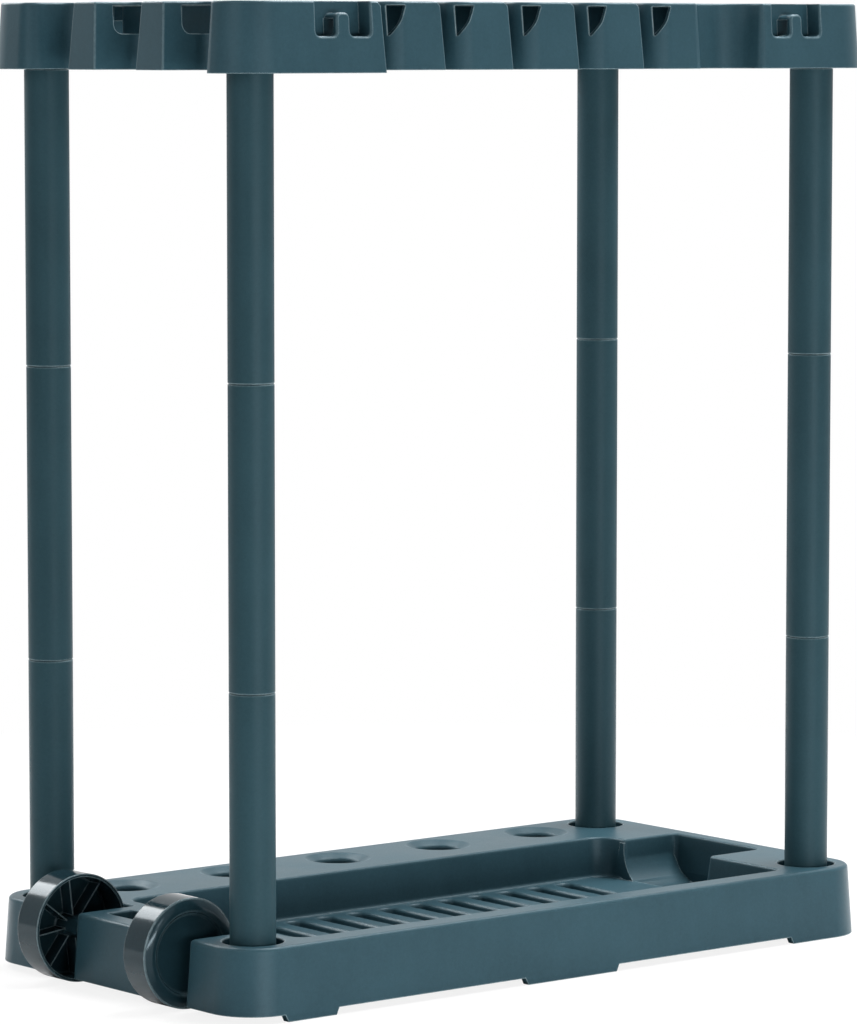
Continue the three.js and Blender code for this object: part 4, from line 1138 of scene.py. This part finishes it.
class Finish:
    """A material with its principled shader."""

    def __init__(self, name, **fixed):
        self.material = bpy.data.materials.new(name)
        self.material.use_nodes = True
        self.tree = self.material.node_tree
        self.shader = self.tree.nodes["Principled BSDF"]
        for socket, number in fixed.items():
            self.shader.inputs[socket.replace("_", " ")].default_value = number
        self.place = self.node("ShaderNodeTexCoord")["Object"]

    def node(self, kind, settings=None, inputs=None):
        """Adds a node: its settings first, then the numbers or links of its sockets."""
        node = self.tree.nodes.new(kind)
        for setting, value in (settings or {}).items():
            setattr(node, setting, value)
        for socket, value in (inputs or {}).items():
            self.feed(node.inputs[socket], value)
        return Value(self, node.outputs[0])

    def feed(self, socket, value):
        if isinstance(value, Value):
            self.tree.links.new(value.socket, socket)
        else:
            socket.default_value = value

    def noise(self, size, detail=2.0, roughness=0.5, stretch=None):
        """Noise whose features are about `size` metres across, around 0.5."""
        place = self.place
        if stretch:
            place = self.node("ShaderNodeMapping", None, {"Vector": place, "Scale": stretch})
        inputs = {"Vector": place, "Scale": 1 / size, "Detail": detail, "Roughness": roughness}
        return self.node("ShaderNodeTexNoise", None, inputs)["Fac"]

    def blend(self, amount, first, second):
        settings = {"data_type": "RGBA", "blend_type": "MIX"}
        return self.node("ShaderNodeMix", settings, {0: amount, 6: first, 7: second})[2]

    def bump(self, strength, distance, height, **normal):
        """Lets a pattern stand out of the surface by a distance in metres."""
        inputs = {"Strength": strength, "Distance": distance, "Height": height, **normal}
        self.set("Normal", self.node("ShaderNodeBump", None, inputs))

    def set(self, socket, value):
        self.feed(self.shader.inputs[socket], value)


def tint(red, green, blue):
    """A colour as a screen shows it, 0 to 255, as the shader's light levels."""
    shown = [channel / 255 for channel in (red, green, blue)]
    return (*(c / 12.92 if c <= 0.04045 else ((c + 0.055) / 1.055) ** 2.4 for c in shown), 1.0)


print("slate:", [round(level, 3) for level in tint(50, 74, 86)])

# %% [markdown]
# ## Moulded plastic
#
# The plastic is a dark slate blue-green, coloured in the mass. What makes it look real is small: a fine
# spark-eroded grain, faint flow clouds, outer edges painted lighter as a highlight and made a little
# smoother, and gloss that varies a little. A bevel node gives sharp edges a hair-thin rounding in the
# light, and finds them for the painted highlight: there its normal turns away from the face's own. An
# occlusion node is dark in inner corners and keeps the painted highlight off them.

# %% The plastics
SOFT_EDGE = 0.0013  # metres, the rounding in the light
EDGE_GAIN = 14.0  # how quickly the painted edge highlight grows with the turn of the normal
CORNER_REACH = 0.002  # metres
CORNER_LIGHT = 0.55  # light below which a place counts as an inner corner
CORNER_GAIN = 4.0
# painted highlight: the light tint that outer edges are blended towards
EDGE_HIGHLIGHT = tint(160, 182, 188)
COOL = (0.72, 0.9, 1.0, 1.0)  # tint of the reflections
MEAN = 0.5  # of a noise's values
CLOUD_SIZE, FLOW_SIZE = 0.07, 0.012  # metres
SPECKLE_SIZE = 2.7  # times the grain's


def highlit_edges(finish, rounded):
    """How near to an outer edge a place is, from 0 to 1, outside inner corners: the mask of the painted
    edge highlight.
    """
    straight = finish.node("ShaderNodeNewGeometry")["Normal"]
    settings = {"operation": "DOT_PRODUCT"}
    product = finish.node("ShaderNodeVectorMath", settings, {0: rounded, 1: straight})["Value"]
    settings = {"samples": 4, "only_local": True}
    light = finish.node("ShaderNodeAmbientOcclusion", settings, {"Distance": CORNER_REACH})["AO"]
    return ((1.0 - product) * EDGE_GAIN).clamped() * ((light - CORNER_LIGHT) * CORNER_GAIN).clamped()


def plastic(name, dark, light, roughness, grain_size, grain_height, shine, drawn_out=0.25, edge_highlight=0.7):
    """A moulded plastic between two tints, with grain, clouds and a painted highlight on its outer edges.
    """
    finish = Finish(name, Metallic=0.0, Specular_IOR_Level=shine, Specular_Tint=COOL)
    rounded = finish.node("ShaderNodeBevel", {"samples": 4}, {"Radius": SOFT_EDGE})
    edges = highlit_edges(finish, rounded)
    clouds = finish.noise(CLOUD_SIZE, 3.0)
    grain = finish.noise(grain_size, 3.0, 0.6)
    speckle = finish.noise(grain_size * SPECKLE_SIZE, 2.0)
    flow = finish.noise(FLOW_SIZE, 2.0, stretch=(1.0, 1.0, drawn_out))
    shade = (clouds - MEAN) * 0.9 + (grain - MEAN) * 0.8 + (speckle - MEAN) * 0.5 + (flow - MEAN) * 0.3
    colour = finish.blend((shade + MEAN).clamped(), dark, light)
    # painted highlight along the outer edges, standing in for the light that they catch
    painted_highlight = edges * edge_highlight * (0.45 + speckle)
    finish.set("Base Color", finish.blend(painted_highlight.clamped(), colour, EDGE_HIGHLIGHT))
    dulling = (clouds - MEAN) * 0.16 + (grain - MEAN) * 0.2 - edges * 0.08
    finish.set("Roughness", dulling + roughness)
    finish.bump(0.35, grain_height, grain * 0.7 + speckle * 0.5, Normal=rounded)
    return finish.material


skin = {"roughness": 0.4, "grain_size": 0.0011, "grain_height": 0.00016, "shine": 0.2}
moulded = plastic("slate_moulding", tint(32, 57, 66), tint(45, 73, 83), **skin)
skin = {"roughness": 0.46, "grain_size": 0.0009, "grain_height": 0.00012, "shine": 0.13}
tubed = plastic("slate_tube", tint(30, 53, 60), tint(41, 67, 75), drawn_out=0.04, **skin)
skin = {"roughness": 0.13, "grain_size": 0.0014, "grain_height": 0.00003, "shine": 0.2}
rolled = plastic("dark_wheel", tint(15, 32, 38), tint(24, 44, 51), edge_highlight=0.6, **skin)
print("plastics:", moulded.name, tubed.name, rolled.name)

# %% [markdown]
# ## Steel
#
# Only the ends of the axle could show, through the open sides of the wheels. It is drawn rod: bright,
# with fine lines along its length and a few dull spots.

# %% The axle's steel
def steel(name):
    finish = Finish(name, Metallic=1.0)
    lines = finish.noise(0.0006, 3.0, stretch=(1.0, 0.05, 1.0))
    spots = finish.noise(0.009, 4.0)
    shade = (lines * 0.6 + spots * 0.5).clamped()
    finish.set("Base Color", finish.blend(shade, tint(128, 130, 132), tint(190, 192, 194)))
    finish.set("Roughness", 0.22 + spots * 0.25)
    finish.bump(0.3, 0.00005, lines)
    return finish.material


drawn_steel = steel("drawn_steel")
print("steel:", drawn_steel.name)

# %% [markdown]
# ## Dressing
# Every piece stands for a imported solid, rides on the body that carries it and takes its finish. The
# wheels ride on their own bodies.

# %% Pieces on their bodies
def dressed(piece, node, body, material):
    piece.data.materials.clear()
    piece.data.materials.append(material)
    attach(piece, body)
    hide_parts(node)


dressed(tray, "base_tray", "frame", moulded)
dressed(rack, "top_rack", "frame", moulded)
dressed(axle, "axle_rod", "frame", drawn_steel)
dressed(front_wheel, "wheel_front", "front_wheel", rolled)
dressed(back_wheel, "wheel_back", "back_wheel", rolled)
for node, tube in tubes.items():
    dressed(tube, node, "frame", tubed)
print("dressed:", len(pieces))

# %% [markdown]
# ## Floor and background
#
# The rack stands on a pale floor before a white background. To the camera the floor shows mostly its own
# white, and a part of the light that falls on it, so the shadow stays. Further out the share of white
# grows until the floor melts into the background. The world is white to the camera and in reflections,
# and black to rough surfaces, so that only the lamps light them.

# %% The floor and the world
FLOOR_SIZE = 14  # metres
FLOOR_GLOW = 0.86  # share of plain white that the camera sees near the object
FLOOR_NEAR = 0.55  # metres from the middle, where the share begins to grow
FLOOR_FADE = 0.9  # metres further, where it is all

start()
bpy.ops.mesh.primitive_plane_add(size=FLOOR_SIZE, location=(0, 0, 0))
floor = finished(bpy.context.object, "studio_floor")
paper = Finish("pale_floor", Roughness=0.9)
paper.set("Base Color", paper.blend(paper.noise(0.02), tint(243, 243, 243), tint(248, 248, 248)))
glow = paper.node("ShaderNodeEmission", None, {"Color": (1, 1, 1, 1), "Strength": 1.0})
seen = paper.node("ShaderNodeLightPath")["Is Camera Ray"]
distance = paper.node("ShaderNodeVectorMath", {"operation": "LENGTH"}, {0: paper.place})["Value"]
far = ((distance - FLOOR_NEAR) * (1 / FLOOR_FADE)).clamped()
share = far * (1 - FLOOR_GLOW) + FLOOR_GLOW
lit = Value(paper, paper.shader.outputs[0])
mixed = paper.node("ShaderNodeMixShader", None, {0: seen * share, 1: lit, 2: glow})
paper.feed(paper.tree.nodes["Material Output"].inputs["Surface"], mixed)
floor.data.materials.append(paper.material)

world = bpy.data.worlds.new("studio")
bpy.context.scene.world = world
world.use_nodes = True
tree = world.node_tree
rays = tree.nodes.new("ShaderNodeLightPath").outputs
white = rays["Is Camera Ray"]
for name in ("Is Glossy Ray", "Is Transmission Ray"):
    either = tree.nodes.new("ShaderNodeMath")
    either.operation = "MAXIMUM"
    tree.links.new(white, either.inputs[0])
    tree.links.new(rays[name], either.inputs[1])
    white = either.outputs[0]
background = tree.nodes["Background"]
background.inputs["Color"].default_value = (1, 1, 1, 1)
tree.links.new(white, background.inputs["Strength"])
print("floor", FLOOR_SIZE, "m, fading out from", FLOOR_NEAR, "m")

# %% [markdown]
# ## Light
#
# A low, wide lamp in front lights the long side evenly, and a small one above it adds a narrow gleam to
# the round posts. The strongest hangs high over the right end and lights all that faces up. Two lamps
# behind draw light along the back edges, and a weak one at the left keeps the end darker than the front.

# %% The lamps
LAMPS = [  # name, place in metres, width, height, power
    ("front lamp", (-0.7, -3.2, 0.25), 2.0, 0.3, 45),
    ("accent lamp", (0.0, -3.2, 0.9), 0.5, 0.5, 5),
    ("top lamp", (1.0, -0.1, 2.8), 1.6, 1.6, 180),
    ("back lamp", (-0.6, 2.5, 1.8), 1.0, 1.0, 36),
    ("high back lamp", (0.0, 1.7, 2.2), 1.0, 1.0, 38),
    ("left lamp", (-1.7, -0.5, 1.2), 0.8, 0.8, 6),
]
AIM = Vector((0, 0, 0.4))

for name, place, width, height, power in LAMPS:
    start()
    turn = (AIM - Vector(place)).to_track_quat("-Z", "Y").to_euler()
    bpy.ops.object.light_add(type="AREA", location=place, rotation=turn)
    lamp = bpy.context.object
    lamp.name = name
    lamp.data.shape = "RECTANGLE"
    lamp.data.size = width
    lamp.data.size_y = height
    lamp.data.energy = power
    lamp.visible_camera = False
bpy.context.scene.view_settings.view_transform = "Standard"
print("lamps:", len(LAMPS))
